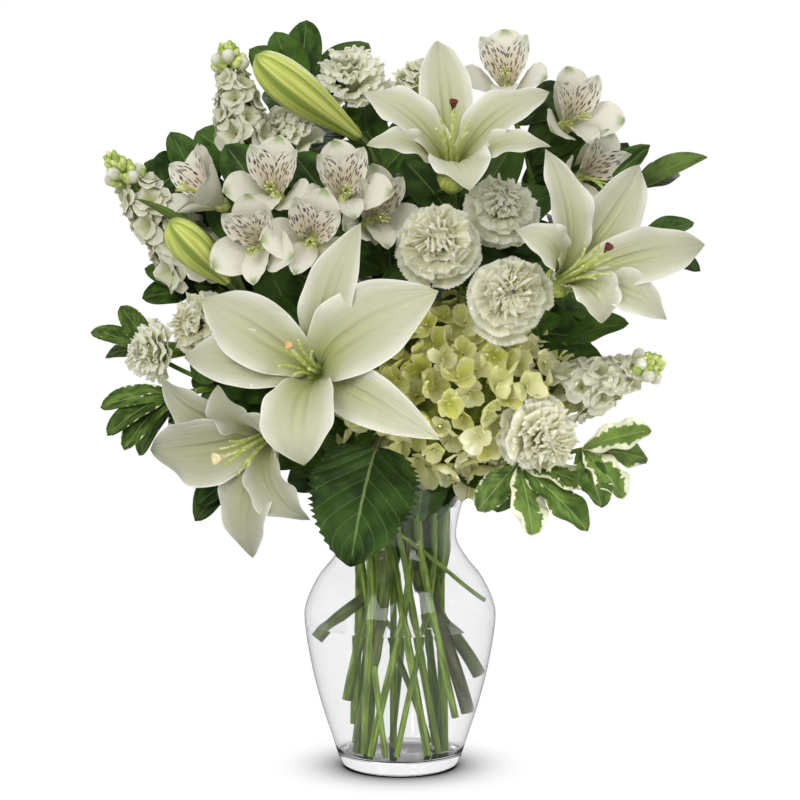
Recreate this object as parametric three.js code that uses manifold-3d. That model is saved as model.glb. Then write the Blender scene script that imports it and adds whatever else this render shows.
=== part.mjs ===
// A clear glass urn vase, half full of water, with a bouquet of cut flowers: lilies and their buds,
// alstroemeria, carnations, stock, a hydrangea head and leafy stems. Millimetres, +Z up, origin at the centre
// of the vase's foot. The front of the bouquet looks along -Y. Each bloom, stem and spray is one closed body.
import * as THREE from "three";
import { mergeVertices } from "three/addons/utils/BufferGeometryUtils.js";
import Module from "manifold-3d";

const wasm = await Module();
wasm.setup();

// ---------- driving dimensions ----------
const GAP = 0.35; // clearance between pieces that lie against each other
const WALL = 2.7; // thickness of the glass
const FLOOR_Z = 9; // top of the thick glass foot inside the vase
const RIM_Z = 203; // top of the lip
const WATER_Z = 94; // level of the water
const NECK_Z = 150; // height at which the stems are packed closest
const FOOT_Z = 10.7; // height of the cut ends above the table
const TWIST = 62; // degrees that a stem turns about the vase between its place in the neck and its foot
const BLADE = 1.3; // thickness of a petal or leaf at its midrib
const STEP = 0.01; // step of the numerical slopes of a surface
const GOLDEN = 137.508; // degrees between one floret, bud or leaf and the next in a spiral

// Outer outline of the vase: radius and height, from the foot to just under the lip.
const VASE_OUTLINE = [
  [34, 0],
  [38, 3.5],
  [43.5, 20],
  [50.5, 42],
  [56.2, 65],
  [60.3, 90],
  [60, 104],
  [52.5, 121],
  [43.5, 132.5],
  [37, 143],
  [35.6, 150],
  [37.2, 161],
  [41.2, 177],
  [46, 200],
];

// Rings of places in the neck: radius there, radius at the foot, first angle and number of places.
const RINGS = {
  inner: { neck: 6, foot: 8.5, start: 330, places: 3 },
  middle: { neck: 15.5, foot: 19.5, start: 337.5, places: 8 },
  outer: { neck: 26.8, foot: 31, start: 270, places: 14 },
};

const COLOURS = {
  glass: 0xdfe9e8,
  water: 0xd3dccb,
  lily: 0xf7f5ee,
  bud: 0xc9cf9a,
  alstroemeria: 0xf6f0ea,
  carnation: 0xf8f5ee,
  stock: 0xf6f4e8,
  hydrangea: 0xdfe6ad,
  stem: 0x6f8f45,
  lilyStem: 0x557a3a,
  woodyStem: 0x7a6a48,
  pittosporum: 0x8fa57a,
  broadleaf: 0x2f4d2a,
};

const vec = (x, y, z) => new THREE.Vector3(x, y, z);
const point = (list) => new THREE.Vector3(...list);
const radians = THREE.MathUtils.degToRad;

// ---------- closed meshes ----------
function signedVolume(points, faces) {
  let total = 0;
  for (const [a, b, c] of faces) total += points[a].dot(points[b].clone().cross(points[c]));
  return total / 6;
}

function meshGeometry(points, faces) {
  const outward = signedVolume(points, faces) > 0;
  const index = faces.flatMap(([a, b, c]) => (outward ? [a, b, c] : [a, c, b]));
  return new THREE.BufferGeometry().setFromPoints(points).setIndex(index);
}

// A closed skin over rings with equal numbers of points, from a start point to an end point. From place
// backFrom on, squares are split along the other diagonal, so that both faces of a thin blade are split alike.
function loft(rings, start, end, backFrom = Infinity) {
  const count = rings[0].length;
  const points = [start, ...rings.flat(), end];
  const last = points.length - 1;
  const at = (i, j) => 1 + i * count + (j % count);
  const faces = [];
  for (let j = 0; j < count; j++) {
    faces.push([0, at(0, j + 1), at(0, j)]);
    for (let i = 0; i + 1 < rings.length; i++) {
      const [p, q, r, s] = [at(i, j), at(i, j + 1), at(i + 1, j + 1), at(i + 1, j)];
      if (j < backFrom) faces.push([p, q, r], [p, r, s]);
      else faces.push([p, q, s], [q, r, s]);
    }
    faces.push([last, at(rings.length - 1, j), at(rings.length - 1, j + 1)]);
  }
  return meshGeometry(points, faces);
}

// ---------- solids ----------
function solid(geometry) {
  const flat = geometry.index ? geometry.toNonIndexed() : geometry;
  const bare = new THREE.BufferGeometry().setAttribute("position", flat.getAttribute("position"));
  const merged = mergeVertices(bare, 1e-4);
  return new wasm.Manifold(
    new wasm.Mesh({
      numProp: 3,
      vertProperties: merged.attributes.position.array,
      triVerts: new Uint32Array(merged.index.array),
    }),
  );
}

const join = (solids) => solids.reduce((whole, next) => whole.add(next));

function boxesMeet(a, b) {
  const [p, q] = [a.boundingBox(), b.boundingBox()];
  return [0, 1, 2].every((k) => p.min[k] < q.max[k] && q.min[k] < p.max[k]);
}

// The largest body of a solid: what a cut leaves loose falls away.
function mainBody(whole) {
  const bodies = whole.decompose();
  return bodies.reduce((best, next) => (next.volume() > best.volume() ? next : best));
}

function carve(body, neighbours) {
  const near = neighbours.filter((other) => boxesMeet(body, other));
  return near.reduce((rest, other) => rest.subtract(other), body);
}

function meshOf(name, colour, roughness, whole) {
  const raw = whole.getMesh();
  const geometry = new THREE.BufferGeometry();
  geometry.setAttribute("position", new THREE.BufferAttribute(raw.vertProperties, raw.numProp));
  geometry.setIndex(new THREE.BufferAttribute(raw.triVerts, 1));
  geometry.computeVertexNormals();
  const material = new THREE.MeshStandardMaterial({ color: colour, roughness, metalness: 0 });
  const mesh = new THREE.Mesh(geometry, material);
  mesh.name = name;
  return mesh;
}

// ---------- blades: petals and leaves ----------
// One ring across a blade at s. A blade is a thin lens: its two faces meet in its edges. A grown blade, which
// cuts its neighbours clear, has edges of their own height.
function bladeRing(at, s, columns, thick, grow) {
  const front = [];
  const back = [];
  for (let k = 0; k <= columns; k++) {
    const a = (2 * k) / columns - 1;
    const along = at(s + STEP, a).sub(at(s - STEP, a));
    const across = at(s, a + STEP).sub(at(s, a - STEP));
    const normal = along.cross(across).normalize();
    const centre = at(s, a).addScaledVector(across.normalize(), 2 * a * grow);
    const half = (thick / 2) * (1 - a * a) + grow;
    front.push(centre.clone().addScaledVector(normal, half));
    const hasBack = grow > 0 || (k > 0 && k < columns);
    if (hasBack) back.unshift(centre.clone().addScaledVector(normal, -half));
  }
  return [...front, ...back];
}

const SHARP = 4; // how much further than its faces a grown blade reaches at its sharp ends

// A closed blade about the surface at(s, a): s runs from root to tip, a from -1 to 1 across.
function blade(at, { rows, columns, thick = BLADE, grow = 0 }) {
  const rings = [];
  for (let i = 1; i < rows; i++) rings.push(bladeRing(at, i / rows, columns, thick, grow));
  const root = at(0, 0);
  const tip = at(1, 0);
  root.addScaledVector(at(STEP, 0).sub(root).normalize(), -SHARP * grow);
  tip.addScaledVector(at(1 - STEP, 0).sub(tip).normalize(), -SHARP * grow);
  return solid(loft(rings, root, tip, columns));
}

// Axes of a bloom that looks along n: y is the upper side as seen from the front, x its right.
function bloomFrame(base, facing) {
  const n = point(facing).normalize();
  const up = vec(0, 0.35, 1);
  const y = up.addScaledVector(n, -up.dot(n)).normalize();
  const x = new THREE.Vector3().crossVectors(y, n);
  return new THREE.Matrix4().makeBasis(x, y, n).setPosition(point(base));
}

// Width of a blade at s, as a share of its full width: nothing at both ends. A larger skew moves the widest
// place towards the tip, and a larger fullness narrows both ends.
function widthAt(s, skew, fullness) {
  const u = Math.pow(s, skew);
  return Math.pow(4 * u * (1 - u), fullness);
}

// A petal in its bloom's frame: the midrib is a curve in the plane of radius and height. Near the throat the
// blade hugs the axis, so that petals nest there, and further out it is cupped and waved.
function petalSurface({ angle, rib, half, skew, fullness, cup, wave = 0, waves = 2, phase = 0 }) {
  const [p, q, r, s] = rib.map(([radius, height]) => new THREE.Vector2(radius, height));
  const midrib = new THREE.CubicBezierCurve(p, q, r, s);
  const [c, d] = [Math.cos(radians(angle)), Math.sin(radians(angle))];
  return (t, a) => {
    const mid = midrib.getPoint(t);
    const slope = midrib.getTangent(t);
    const width = half * widthAt(t, skew, fullness);
    const hug = ((1 - t) * width * width) / (2 * (mid.x + 5));
    const ripple = wave * t * Math.sin(2 * Math.PI * waves * t + phase * Math.sign(a));
    const lift = a * a * (hug + width * (cup * t + ripple));
    const radius = mid.x - slope.y * lift;
    const height = mid.y + slope.x * lift;
    const side = a * width;
    return vec(radius * c - side * d, radius * d + side * c, height);
  };
}

// A leaf from its root to its tip, with its face towards up: arched along its length and waved at its edges.
function leafSurface({ root, to, half, up, arch, cup, wave, waves, skew, fullness }) {
  const tip = point(to);
  const along = tip.clone().sub(root);
  const length = along.length();
  const side = along.clone().cross(point(up)).normalize();
  const face = side.clone().cross(along).normalize();
  return (t, a) => {
    const width = half * widthAt(t, skew, fullness);
    const ripple = wave * Math.sin(2 * Math.PI * waves * t + (a > 0 ? 0.6 : 2.2));
    const lift = length * arch * 4 * t * (1 - t) + width * a * a * (cup + ripple);
    const mid = root.clone().addScaledVector(along, t);
    return mid.addScaledVector(side, a * width).addScaledVector(face, lift);
  };
}

// ---------- round pieces ----------
function polygon(radius, sides) {
  const corners = Array.from({ length: sides }, (_, k) => {
    const u = (2 * Math.PI * k) / sides;
    return new THREE.Vector2(radius * Math.cos(u), radius * Math.sin(u));
  });
  return new THREE.Shape(corners);
}

function tube(path, radius, sides, steps) {
  const along = { steps, extrudePath: path, bevelEnabled: false };
  return solid(new THREE.ExtrudeGeometry(polygon(radius, sides), along));
}

const rod = (from, to, radius, sides = 5) => tube(new THREE.LineCurve3(from, to), radius, sides, 1);

// A turned solid about the Z axis from an outline of radius and height.
function turned(outline, segments) {
  const profile = outline.map(([radius, height]) => new THREE.Vector2(radius, height));
  return new THREE.LatheGeometry(profile, segments).rotateX(Math.PI / 2);
}

// The swollen base that holds the petals of a bloom. Its corners grow faster than its faces move out.
function receptacle(centre, radius, grow = 0) {
  return solid(new THREE.OctahedronGeometry(radius + Math.sqrt(3) * grow, 0).translate(...centre));
}

// An outline moved outwards by a distance along its own normals.
function offsetOutline(outline, distance) {
  return outline.map(([radius, height], k) => {
    const before = outline[Math.max(k - 1, 0)];
    const after = outline[Math.min(k + 1, outline.length - 1)];
    const slope = new THREE.Vector2(after[0] - before[0], after[1] - before[1]).normalize();
    return [radius + slope.y * distance, height - slope.x * distance];
  });
}

// ---------- vase and water ----------
const VASE_SEGMENTS = 18;
const FLOOR_EDGE = 5; // how far the flat floor inside the vase stops short of its wall
const WALL_START_Z = FLOOR_Z + 2; // height at which the inner wall starts above its rounded corner
const aboveFloor = ([, z]) => z > WALL_START_Z;

function vaseOutline(grow = 0) {
  const outer = offsetOutline(VASE_OUTLINE, grow);
  const inner = offsetOutline(VASE_OUTLINE, -WALL - grow).filter(aboveFloor).reverse();
  const [rimRadius] = VASE_OUTLINE.at(-1);
  const lip = [
    [rimRadius + 0.7 + grow, RIM_Z - 1.2],
    [rimRadius - 0.6, RIM_Z + grow],
    [rimRadius - WALL - grow, RIM_Z - 1.4],
  ];
  const floorRadius = inner.at(-1)[0] - FLOOR_EDGE;
  return [[0, -grow], ...outer, ...lip, ...inner, [floorRadius, FLOOR_Z + grow], [0, FLOOR_Z + grow]];
}

const vaseSolid = (grow = 0) => solid(turned(vaseOutline(grow), VASE_SEGMENTS));

const SHORE_Z = WATER_Z - 3; // points of the wall above this are left out of the water, so close to its level

// The water follows the inside of the glass, up to its level.
function waterSolid() {
  const wall = offsetOutline(VASE_OUTLINE, -WALL - GAP).filter(aboveFloor);
  const inner = wall.filter(([, z]) => z < SHORE_Z);
  const above = wall.find(([, z]) => z >= SHORE_Z);
  const below = inner.at(-1);
  const share = (WATER_Z - below[1]) / (above[1] - below[1]);
  const shore = [below[0] + share * (above[0] - below[0]), WATER_Z];
  const floorRadius = inner[0][0] - FLOOR_EDGE;
  const floor = [[0, FLOOR_Z + GAP], [floorRadius, FLOOR_Z + GAP]];
  return solid(turned([...floor, ...inner, shore, [0, WATER_Z]], VASE_SEGMENTS));
}

// ---------- stems ----------
const STEPS = 5; // lengths of tube in a stem
const THIN = 2.5; // a stem of a smaller radius has four sides, a thicker one five
const sidesOf = (radius) => (radius < THIN ? 4 : 5);

// The line of a stem: straight from its cut end through its place in the neck, then a curve to its head. The
// first step of the curve is the whole straight part.
class StemPath extends THREE.Curve {
  constructor(foot, neck, head, heading, rise, steps) {
    super();
    const direction = neck.clone().sub(foot).normalize();
    const reach = neck.distanceTo(head);
    this.foot = foot;
    this.steps = steps;
    this.upper = new THREE.CubicBezierCurve3(
      neck,
      neck.clone().addScaledVector(direction, rise ?? 0.4 * reach),
      head.clone().addScaledVector(heading, -0.3 * reach),
      head,
    );
  }
  getPoint(t, target = new THREE.Vector3()) {
    const place = t * this.steps;
    if (place < 1) return target.lerpVectors(this.foot, this.upper.v0, place);
    return this.upper.getPoint((place - 1) / (this.steps - 1), target);
  }
  getUtoTmapping(u) {
    return u;
  }
}

function placeInNeck({ ring, place, foot = FOOT_Z }) {
  const { neck, foot: spread, start, places } = RINGS[ring];
  const top = radians(start + (360 * place) / places);
  const low = top + radians(TWIST);
  const neckPoint = vec(neck * Math.cos(top), neck * Math.sin(top), NECK_Z);
  const lowest = vec(spread * Math.cos(low), spread * Math.sin(low), FOOT_Z);
  const share = (foot - FOOT_Z) / (NECK_Z - FOOT_Z);
  return [lowest.lerp(neckPoint, share), neckPoint];
}

function stemPath({ slot, head, heading, rise, steps = STEPS }) {
  const [foot, neck] = placeInNeck(slot);
  return new StemPath(foot, neck, point(head), point(heading).normalize(), rise, steps);
}

// The lines of a stem: its upper curve, then each of its branches. A branch or a leaf grows from a line at a
// share of its length, written [line, share].
function stemLines(stem) {
  const lines = [stemPath(stem).upper];
  for (const branch of stem.branches ?? []) lines.push(branchPath(placeOn(lines, branch.from), branch));
  return lines;
}

const placeOn = (lines, [line, share]) => lines[line].getPoint(share);

// A side branch leaves its stem along a heading, and ends along another.
function branchPath(start, { leave, to, arrive }) {
  const end = point(to);
  const reach = start.distanceTo(end);
  return new THREE.CubicBezierCurve3(
    start,
    start.clone().addScaledVector(point(leave).normalize(), 0.35 * reach),
    end.clone().addScaledVector(point(arrive).normalize(), -0.35 * reach),
    end,
  );
}

function stemSolid(stem, grow = 0) {
  const { radius: thick, steps = STEPS } = stem;
  const parts = [tube(stemPath(stem), thick + grow, sidesOf(thick), steps)];
  const [, ...branchLines] = stemLines(stem);
  branchLines.forEach((line, k) => {
    const { radius } = stem.branches[k];
    parts.push(tube(line, radius + grow, sidesOf(radius), 2));
  });
  for (const calyx of stem.calyxes ?? []) parts.push(calyxSolid(calyx, grow));
  for (const bud of stem.buds ?? []) parts.push(budTip(bud, grow));
  return join(parts);
}

// ---------- carnations ----------
const CALYX = [
  [0, -2],
  [3.4, 0],
  [6.3, 21],
  [0, 22],
];

function calyxSolid({ base, facing }, grow = 0) {
  const outline = CALYX.map(([radius, height], k) => {
    const end = k === 0 ? -grow : k === CALYX.length - 1 ? grow : 0;
    return [radius > 0 ? radius + grow : 0, height + end];
  });
  return solid(turned(outline, 5).applyMatrix4(bloomFrame(base, facing)));
}

// A floret: a dished star with a deep point behind it.
function starGeometry({ size, lobes, notch, dish, depth, thick = 1.8 }, grow = 0) {
  const rim = (lift) =>
    Array.from({ length: 2 * lobes }, (_, k) => {
      const u = (Math.PI * k) / lobes;
      const [reach, rise] = k % 2 === 0 ? [1, 1] : [notch, 0.6];
      const radius = size * reach + 1.5 * grow;
      return vec(radius * Math.cos(u), radius * Math.sin(u), dish * size * rise + lift * grow);
    });
  const rims = grow > 0 ? [rim(-2), rim(2)] : [rim(0)];
  return loft(rims, vec(0, 0, -depth - grow), vec(0, 0, thick + grow));
}

// Frilled tiers of a carnation from the outer flat one to the upright heart, in shares of its radius: the
// frilled rim of each tier, then the fold between it and the next.
const CARNATION_FOLDS = [
  { radius: 1, height: 0.3, frill: 0.06, turn: 0 },
  { radius: 0.5, height: 0.36, frill: 0, turn: 0 },
  { radius: 0.84, height: 0.66, frill: 0.1, turn: 0.4 },
  { radius: 0.3, height: 0.56, frill: 0, turn: 0.4 },
  { radius: 0.46, height: 1, frill: 0.16, turn: 0.8 },
];
const CARNATION_FRILLS = 10;
const CARNATION_SEAT = 19; // height of the head above the base of its calyx
const CARNATION_CROWN = { bare: 0.75, grown: 1.05 }; // height of the middle of the heart

function carnationSolid({ base, facing, size }, grow = 0) {
  const share = size / 2;
  const ring = ({ radius, height, frill, turn }, k) =>
    Array.from({ length: CARNATION_FRILLS }, (_, j) => {
      const u = (2 * Math.PI * (j + turn)) / CARNATION_FRILLS;
      const zigzag = j % 2 === 0 ? frill : -frill;
      const out = share * radius * (1 + zigzag) + 3 * grow;
      const up = share * (height + zigzag) + (k === 0 ? -2 : 2) * grow;
      return vec(out * Math.cos(u), out * Math.sin(u), up);
    });
  const folds = grow > 0 ? CARNATION_FOLDS.filter((fold) => fold.frill > 0) : CARNATION_FOLDS;
  const crown = share * (grow > 0 ? CARNATION_CROWN.grown : CARNATION_CROWN.bare);
  const head = loft(folds.map(ring), vec(0, 0, -grow), vec(0, 0, crown));
  const seat = new THREE.Matrix4().makeTranslation(0, 0, CARNATION_SEAT);
  return solid(head.applyMatrix4(bloomFrame(base, facing).multiply(seat)));
}

// ---------- lilies ----------
const LILY_MESH = { rows: 4, columns: 2 };
const THROAT = { inner: [6, 38], outer: [14, 34] }; // radius and height to which a petal first rises
const PETAL_STYLE = {
  outer: { half: 17, skew: 1.4, fullness: 0.9, cup: 0.12, wave: 0.1, waves: 1.5 },
  inner: { half: 25, skew: 1.55, fullness: 0.9, cup: 0.1, wave: 0.22, waves: 2 },
};

function lilyPetal({ angle, reach, rise, style, half, rib, ...rest }, k) {
  const curve = rib ?? [[2, 0], THROAT[style], [0.5 * reach, 52], [reach, rise]];
  const shape = PETAL_STYLE[style];
  return petalSurface({ ...shape, ...rest, angle, rib: curve, half: half ?? shape.half, phase: 0.7 * k });
}

// Six filaments and a pistil rise from the throat and lean towards the petals.
function lilyHeart(grow) {
  const parts = [];
  for (let k = 0; k < 6; k++) {
    const u = radians(60 * k + 20);
    const end = vec(12 * Math.cos(u), 12 * Math.sin(u), 60);
    parts.push(rod(vec(2 * Math.cos(u), 2 * Math.sin(u), 9), end, 0.9 + grow, 3));
  }
  parts.push(rod(vec(0, 0, 9), vec(0, 5, 64), 1.4 + grow, 3));
  parts.push(solid(new THREE.IcosahedronGeometry(3.4 + grow, 0).translate(0, 5, 65)));
  return join(parts);
}

function lilySolid({ base, facing, petals }, grow = 0) {
  const parts = petals.map((petal, k) => blade(lilyPetal(petal, k), { ...LILY_MESH, grow }));
  parts.push(lilyHeart(grow), receptacle([0, 0, 4], 10, grow));
  return join(parts).transform(bloomFrame(base, facing).toArray());
}

// A closed bud with six shallow ribs, from its base to its tip.
const BUD_OUTLINE = [
  [0, 0],
  [0.2, 0.02],
  [0.36, 0.12],
  [0.47, 0.34],
  [0.5, 0.55],
  [0.4, 0.78],
  [0.2, 0.94],
  [0, 1],
];

function lilyBudSolid({ base, tip, thick }, grow = 0) {
  const along = point(tip).sub(point(base));
  const length = along.length();
  const outline = BUD_OUTLINE.map(([radius, height]) => [radius * thick, height * length]);
  const grown = offsetOutline(outline, grow).map(([radius, height], k) => {
    const onAxis = k === 0 || k === outline.length - 1;
    return [onAxis ? 0 : radius, height];
  });
  return solid(turned(grown, 9).applyMatrix4(bloomFrame(base, along.toArray())));
}

// ---------- alstroemeria ----------
const TEPALS = [
  { angle: 90, reach: 30, rise: 30, half: 13, style: "outer" },
  { angle: 205, reach: 30, rise: 30, half: 13, style: "outer" },
  { angle: 335, reach: 30, rise: 30, half: 13, style: "outer" },
  { angle: 50, reach: 23, rise: 38, half: 8.5, style: "inner" },
  { angle: 130, reach: 23, rise: 38, half: 8.5, style: "inner" },
  { angle: 270, reach: 26, rise: 30, half: 8.5, style: "inner" },
];

function tepalSurface({ angle, reach, rise, half, style }, roll) {
  const rib = [[1, 0], style === "outer" ? [10, 10] : [3, 18], [0.55 * reach, 26], [reach, rise]];
  const skew = style === "outer" ? 1.7 : 1.5;
  return petalSurface({ angle: angle + roll, rib, half, skew, fullness: 0.9, cup: 0.3 });
}

function alstroemeriaSolid({ base, facing, roll = 0 }, grow = 0) {
  const parts = TEPALS.map((tepal) => blade(tepalSurface(tepal, roll), { rows: 3, columns: 2, grow }));
  parts.push(rod(vec(0, 0, 9), vec(1, -6, 34), 0.9 + grow, 3));
  parts.push(receptacle([0, 0, 4], 8, grow));
  return join(parts).transform(bloomFrame(base, facing).toArray());
}

// ---------- stock ----------
const ROSETTE = { lobes: 4, notch: 0.7, dish: 0.45, depth: 2 };

// Rosettes around a stalk, each a ruffled cup, over a slim core that holds them together.
function stockSolid({ base, tip, florets, size }, grow = 0) {
  const along = point(tip).sub(point(base));
  const length = along.length();
  const frame = bloomFrame(base, along.toArray());
  const core = [
    [0, -grow],
    [8 + grow, 2 - grow],
    [6 + grow, 0.7 * length],
    [0, 0.74 * length + grow],
  ];
  const parts = [solid(turned(core, 6))];
  for (let k = 0; k < florets; k++) {
    const share = k / (florets - 1);
    const u = radians(GOLDEN * k);
    const radius = size * (1 - 0.35 * share);
    const out = vec(Math.cos(u), Math.sin(u), 0.45 + 0.5 * share);
    const seat = vec(6 * Math.cos(u), 6 * Math.sin(u), 6 + 0.64 * length * share);
    const rosette = starGeometry({ ...ROSETTE, size: radius }, grow).rotateZ(k);
    parts.push(solid(rosette.applyMatrix4(bloomFrame(seat.toArray(), out.toArray()))));
  }
  return join(parts).transform(frame.toArray());
}

// A small closed bud at the top of a spike.
function budTip({ at, facing, size }, grow = 0) {
  const bud = new THREE.OctahedronGeometry(size + grow, 0).scale(0.62, 0.62, 1).translate(0, 0, 0.7 * size);
  return solid(bud.applyMatrix4(bloomFrame(at, facing)));
}

// Buds around the upper stalk of a spike, smaller towards its tip.
function spikeBuds(base, tip, count) {
  const along = point(tip).sub(point(base));
  const frame = bloomFrame(base, along.toArray());
  return Array.from({ length: count }, (_, k) => {
    const share = k / (count - 1);
    const u = radians(GOLDEN * k + 60);
    const height = along.length() * (0.76 + 0.22 * share);
    const at = vec(1.2 * Math.cos(u), 1.2 * Math.sin(u), height);
    const out = vec(Math.cos(u), Math.sin(u), 0.7 + 2 * share).transformDirection(frame);
    return { at: at.applyMatrix4(frame).toArray(), facing: out.toArray(), size: 7 - 2.5 * share };
  });
}

// ---------- hydrangea ----------
const HYDRANGEA = { centre: [31, -18, 243], axes: [68, 62, 58], florets: 30, core: 0.6 };
const FLORET = { size: 16, lobes: 4, notch: 0.68, dish: 0.12, depth: 26 };

// Florets stand on an ellipsoid in a sunflower spiral, over a smaller core of the same green.
function hydrangeaSolid(grow = 0) {
  const { centre, axes, florets, core } = HYDRANGEA;
  const coreGeometry = new THREE.IcosahedronGeometry(1, 1);
  coreGeometry.scale(...axes.map((axis) => core * axis + grow));
  const parts = [solid(coreGeometry)];
  for (let k = 0; k < florets; k++) {
    const height = 1 - (2 * (k + 0.5)) / florets;
    const u = radians(GOLDEN * k);
    const flat = Math.sqrt(1 - height * height);
    const out = vec(flat * Math.cos(u), flat * Math.sin(u), height);
    const swell = 0.95 + 0.05 * Math.sin(5 * k);
    const seat = out.clone().multiply(point(axes)).multiplyScalar(swell);
    const facing = out.clone().divide(point(axes)).normalize();
    const floret = starGeometry(FLORET, grow).rotateZ(k);
    parts.push(solid(floret.applyMatrix4(bloomFrame(seat.toArray(), facing.toArray()))));
  }
  return join(parts).translate(centre);
}

// ---------- leaves ----------
const LEAF_STYLE = {
  pittosporum: { arch: 0.06, cup: 0.15, wave: 0.35, waves: 2.5, skew: 1.1, fullness: 0.7 },
  broad: { arch: 0.1, cup: 0.25, wave: 0.12, waves: 1.5, skew: 0.85, fullness: 0.75 },
  narrow: { arch: 0.12, cup: 0.35, wave: 0.05, waves: 1, skew: 0.8, fullness: 0.8 },
  toothed: { arch: 0.12, cup: 0.18, wave: 0.1, waves: 5, skew: 0.8, fullness: 0.6 },
};

const LEAF_MESH = { rows: 3, columns: 2 };
const LARGE_LEAF_MESH = { rows: 8, columns: 4 };

function leafSolid({ style, from, ...leaf }, lines, grow = 0) {
  const mesh = style === "toothed" ? LARGE_LEAF_MESH : LEAF_MESH;
  const root = placeOn(lines, from);
  return blade(leafSurface({ ...LEAF_STYLE[style], ...leaf, root }), { ...mesh, grow });
}

// Leaves set in a spiral along the end of a path, each a little smaller towards its tip. The last leaf goes on
// along the path.
function leavesAlong(line, { count, start, length, half, style }) {
  return Array.from({ length: count }, (_, k) => {
    const share = k / (count - 1);
    const t = start + (0.99 - start) * share;
    const heading = line.getTangent(t);
    const u = radians(GOLDEN * k);
    const frame = bloomFrame([0, 0, 0], heading.toArray());
    const forward = k === count - 1 ? 4 : 0.9;
    const away = vec(Math.cos(u), Math.sin(u), forward).transformDirection(frame);
    const reach = length * (1 - 0.25 * share);
    return {
      style,
      from: [0, t],
      to: line.getPoint(t).addScaledVector(away, reach).toArray(),
      half: half * (1 - 0.2 * share),
      up: heading.toArray(),
    };
  });
}

// ---------- the bouquet ----------
const lilies = [
  {
    name: "lily_front",
    base: [-48, -85, 261],
    facing: [-0.25, -0.92, 0.28],
    petals: [
      { angle: 67, reach: 91, rise: 35, style: "outer" },
      { angle: 145, reach: 79, rise: 30, style: "inner" },
      { angle: 172, reach: 81, rise: 20, style: "outer" },
      { angle: 273, reach: 63, rise: 48, style: "inner", rib: [[2, 0], [10, 40], [40, 75], [63, 48]] },
      { angle: 329, reach: 95, rise: 30, style: "outer" },
      { angle: 26, reach: 91, rise: 32, style: "inner", half: 28 },
    ],
  },
  {
    name: "lily_low_left",
    base: [-70, -62, 228],
    facing: [-0.55, -0.78, -0.28],
    petals: [
      { angle: 178, reach: 79, rise: 40, style: "inner", half: 28 },
      { angle: 140, reach: 79, rise: 25, style: "outer" },
      { angle: 236, reach: 86, rise: 25, style: "outer" },
      { angle: 279, reach: 58, rise: 20, style: "inner", half: 18 },
      { angle: 30, reach: 40, rise: 48, style: "outer" },
      { angle: 85, reach: 45, rise: 48, style: "inner", half: 16 },
    ],
  },
  {
    name: "lily_top",
    base: [32, -35, 373],
    facing: [0, -0.7, 0.71],
    petals: [
      { angle: 96, reach: 85, rise: 40, style: "outer" },
      { angle: 34, reach: 72, rise: 40, style: "inner" },
      { angle: 144, reach: 68, rise: 40, style: "inner" },
      { angle: 190, reach: 53, rise: 45, style: "outer" },
      { angle: 350, reach: 60, rise: 45, style: "outer" },
      { angle: 282, reach: 47, rise: 45, style: "inner", half: 20 },
    ],
  },
  {
    name: "lily_right",
    base: [93, -62, 313],
    facing: [0.45, -0.82, 0.33],
    petals: [
      { angle: 107, reach: 77, rise: 35, style: "inner", half: 20 },
      { angle: 59, reach: 85, rise: 35, style: "outer" },
      { angle: 17, reach: 93, rise: 35, style: "inner" },
      { angle: 340, reach: 66, rise: 30, style: "outer", half: 14 },
      { angle: 298, reach: 34, rise: 30, style: "inner", half: 16 },
      { angle: 153, reach: 48, rise: 30, style: "outer" },
    ],
  },
  {
    name: "lily_back",
    base: [-28, 66, 312],
    facing: [-0.1, 0.85, 0.4],
    petals: [0, 60, 120, 180, 240, 300].map((angle, k) => ({
      angle: angle + 8,
      reach: k % 2 === 0 ? 78 : 74,
      rise: 32 + 4 * (k % 3),
      style: k % 2 === 0 ? "inner" : "outer",
    })),
  },
];

const lilyBuds = [
  { name: "lily_bud_top", base: [-25, 10, 400], tip: [-90, -10, 452], thick: 28 },
  { name: "lily_bud_left", base: [-105, -55, 314], tip: [-139, -80, 353], thick: 24 },
];

const alstroemerias = [
  { name: "alstroemeria_1", throat: [-123, -40, 370], facing: [-0.75, -0.35, 0.55], roll: 15 },
  { name: "alstroemeria_2", throat: [-78, -50, 373], facing: [-0.15, -0.85, 0.5], roll: -10 },
  { name: "alstroemeria_3", throat: [-34, -55, 371], facing: [0.1, -0.85, 0.5], roll: 12 },
  { name: "alstroemeria_4", throat: [-86, -80, 340], facing: [-0.35, -0.92, 0.15], roll: 0 },
  { name: "alstroemeria_5", throat: [-54, -85, 344], facing: [-0.05, -0.97, 0.25], roll: -20 },
  { name: "alstroemeria_6", throat: [-15, -45, 355], facing: [0.35, -0.85, 0.4], roll: 8 },
  { name: "alstroemeria_7", throat: [66, 5, 439], facing: [-0.1, -0.75, 0.65], roll: 0 },
  { name: "alstroemeria_8", throat: [110, 5, 414], facing: [0.35, -0.8, 0.45], roll: 14 },
  { name: "alstroemeria_9", throat: [119, 0, 377], facing: [0.55, -0.8, 0.15], roll: -12 },
].map(baseFrom("throat", 20));

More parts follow.
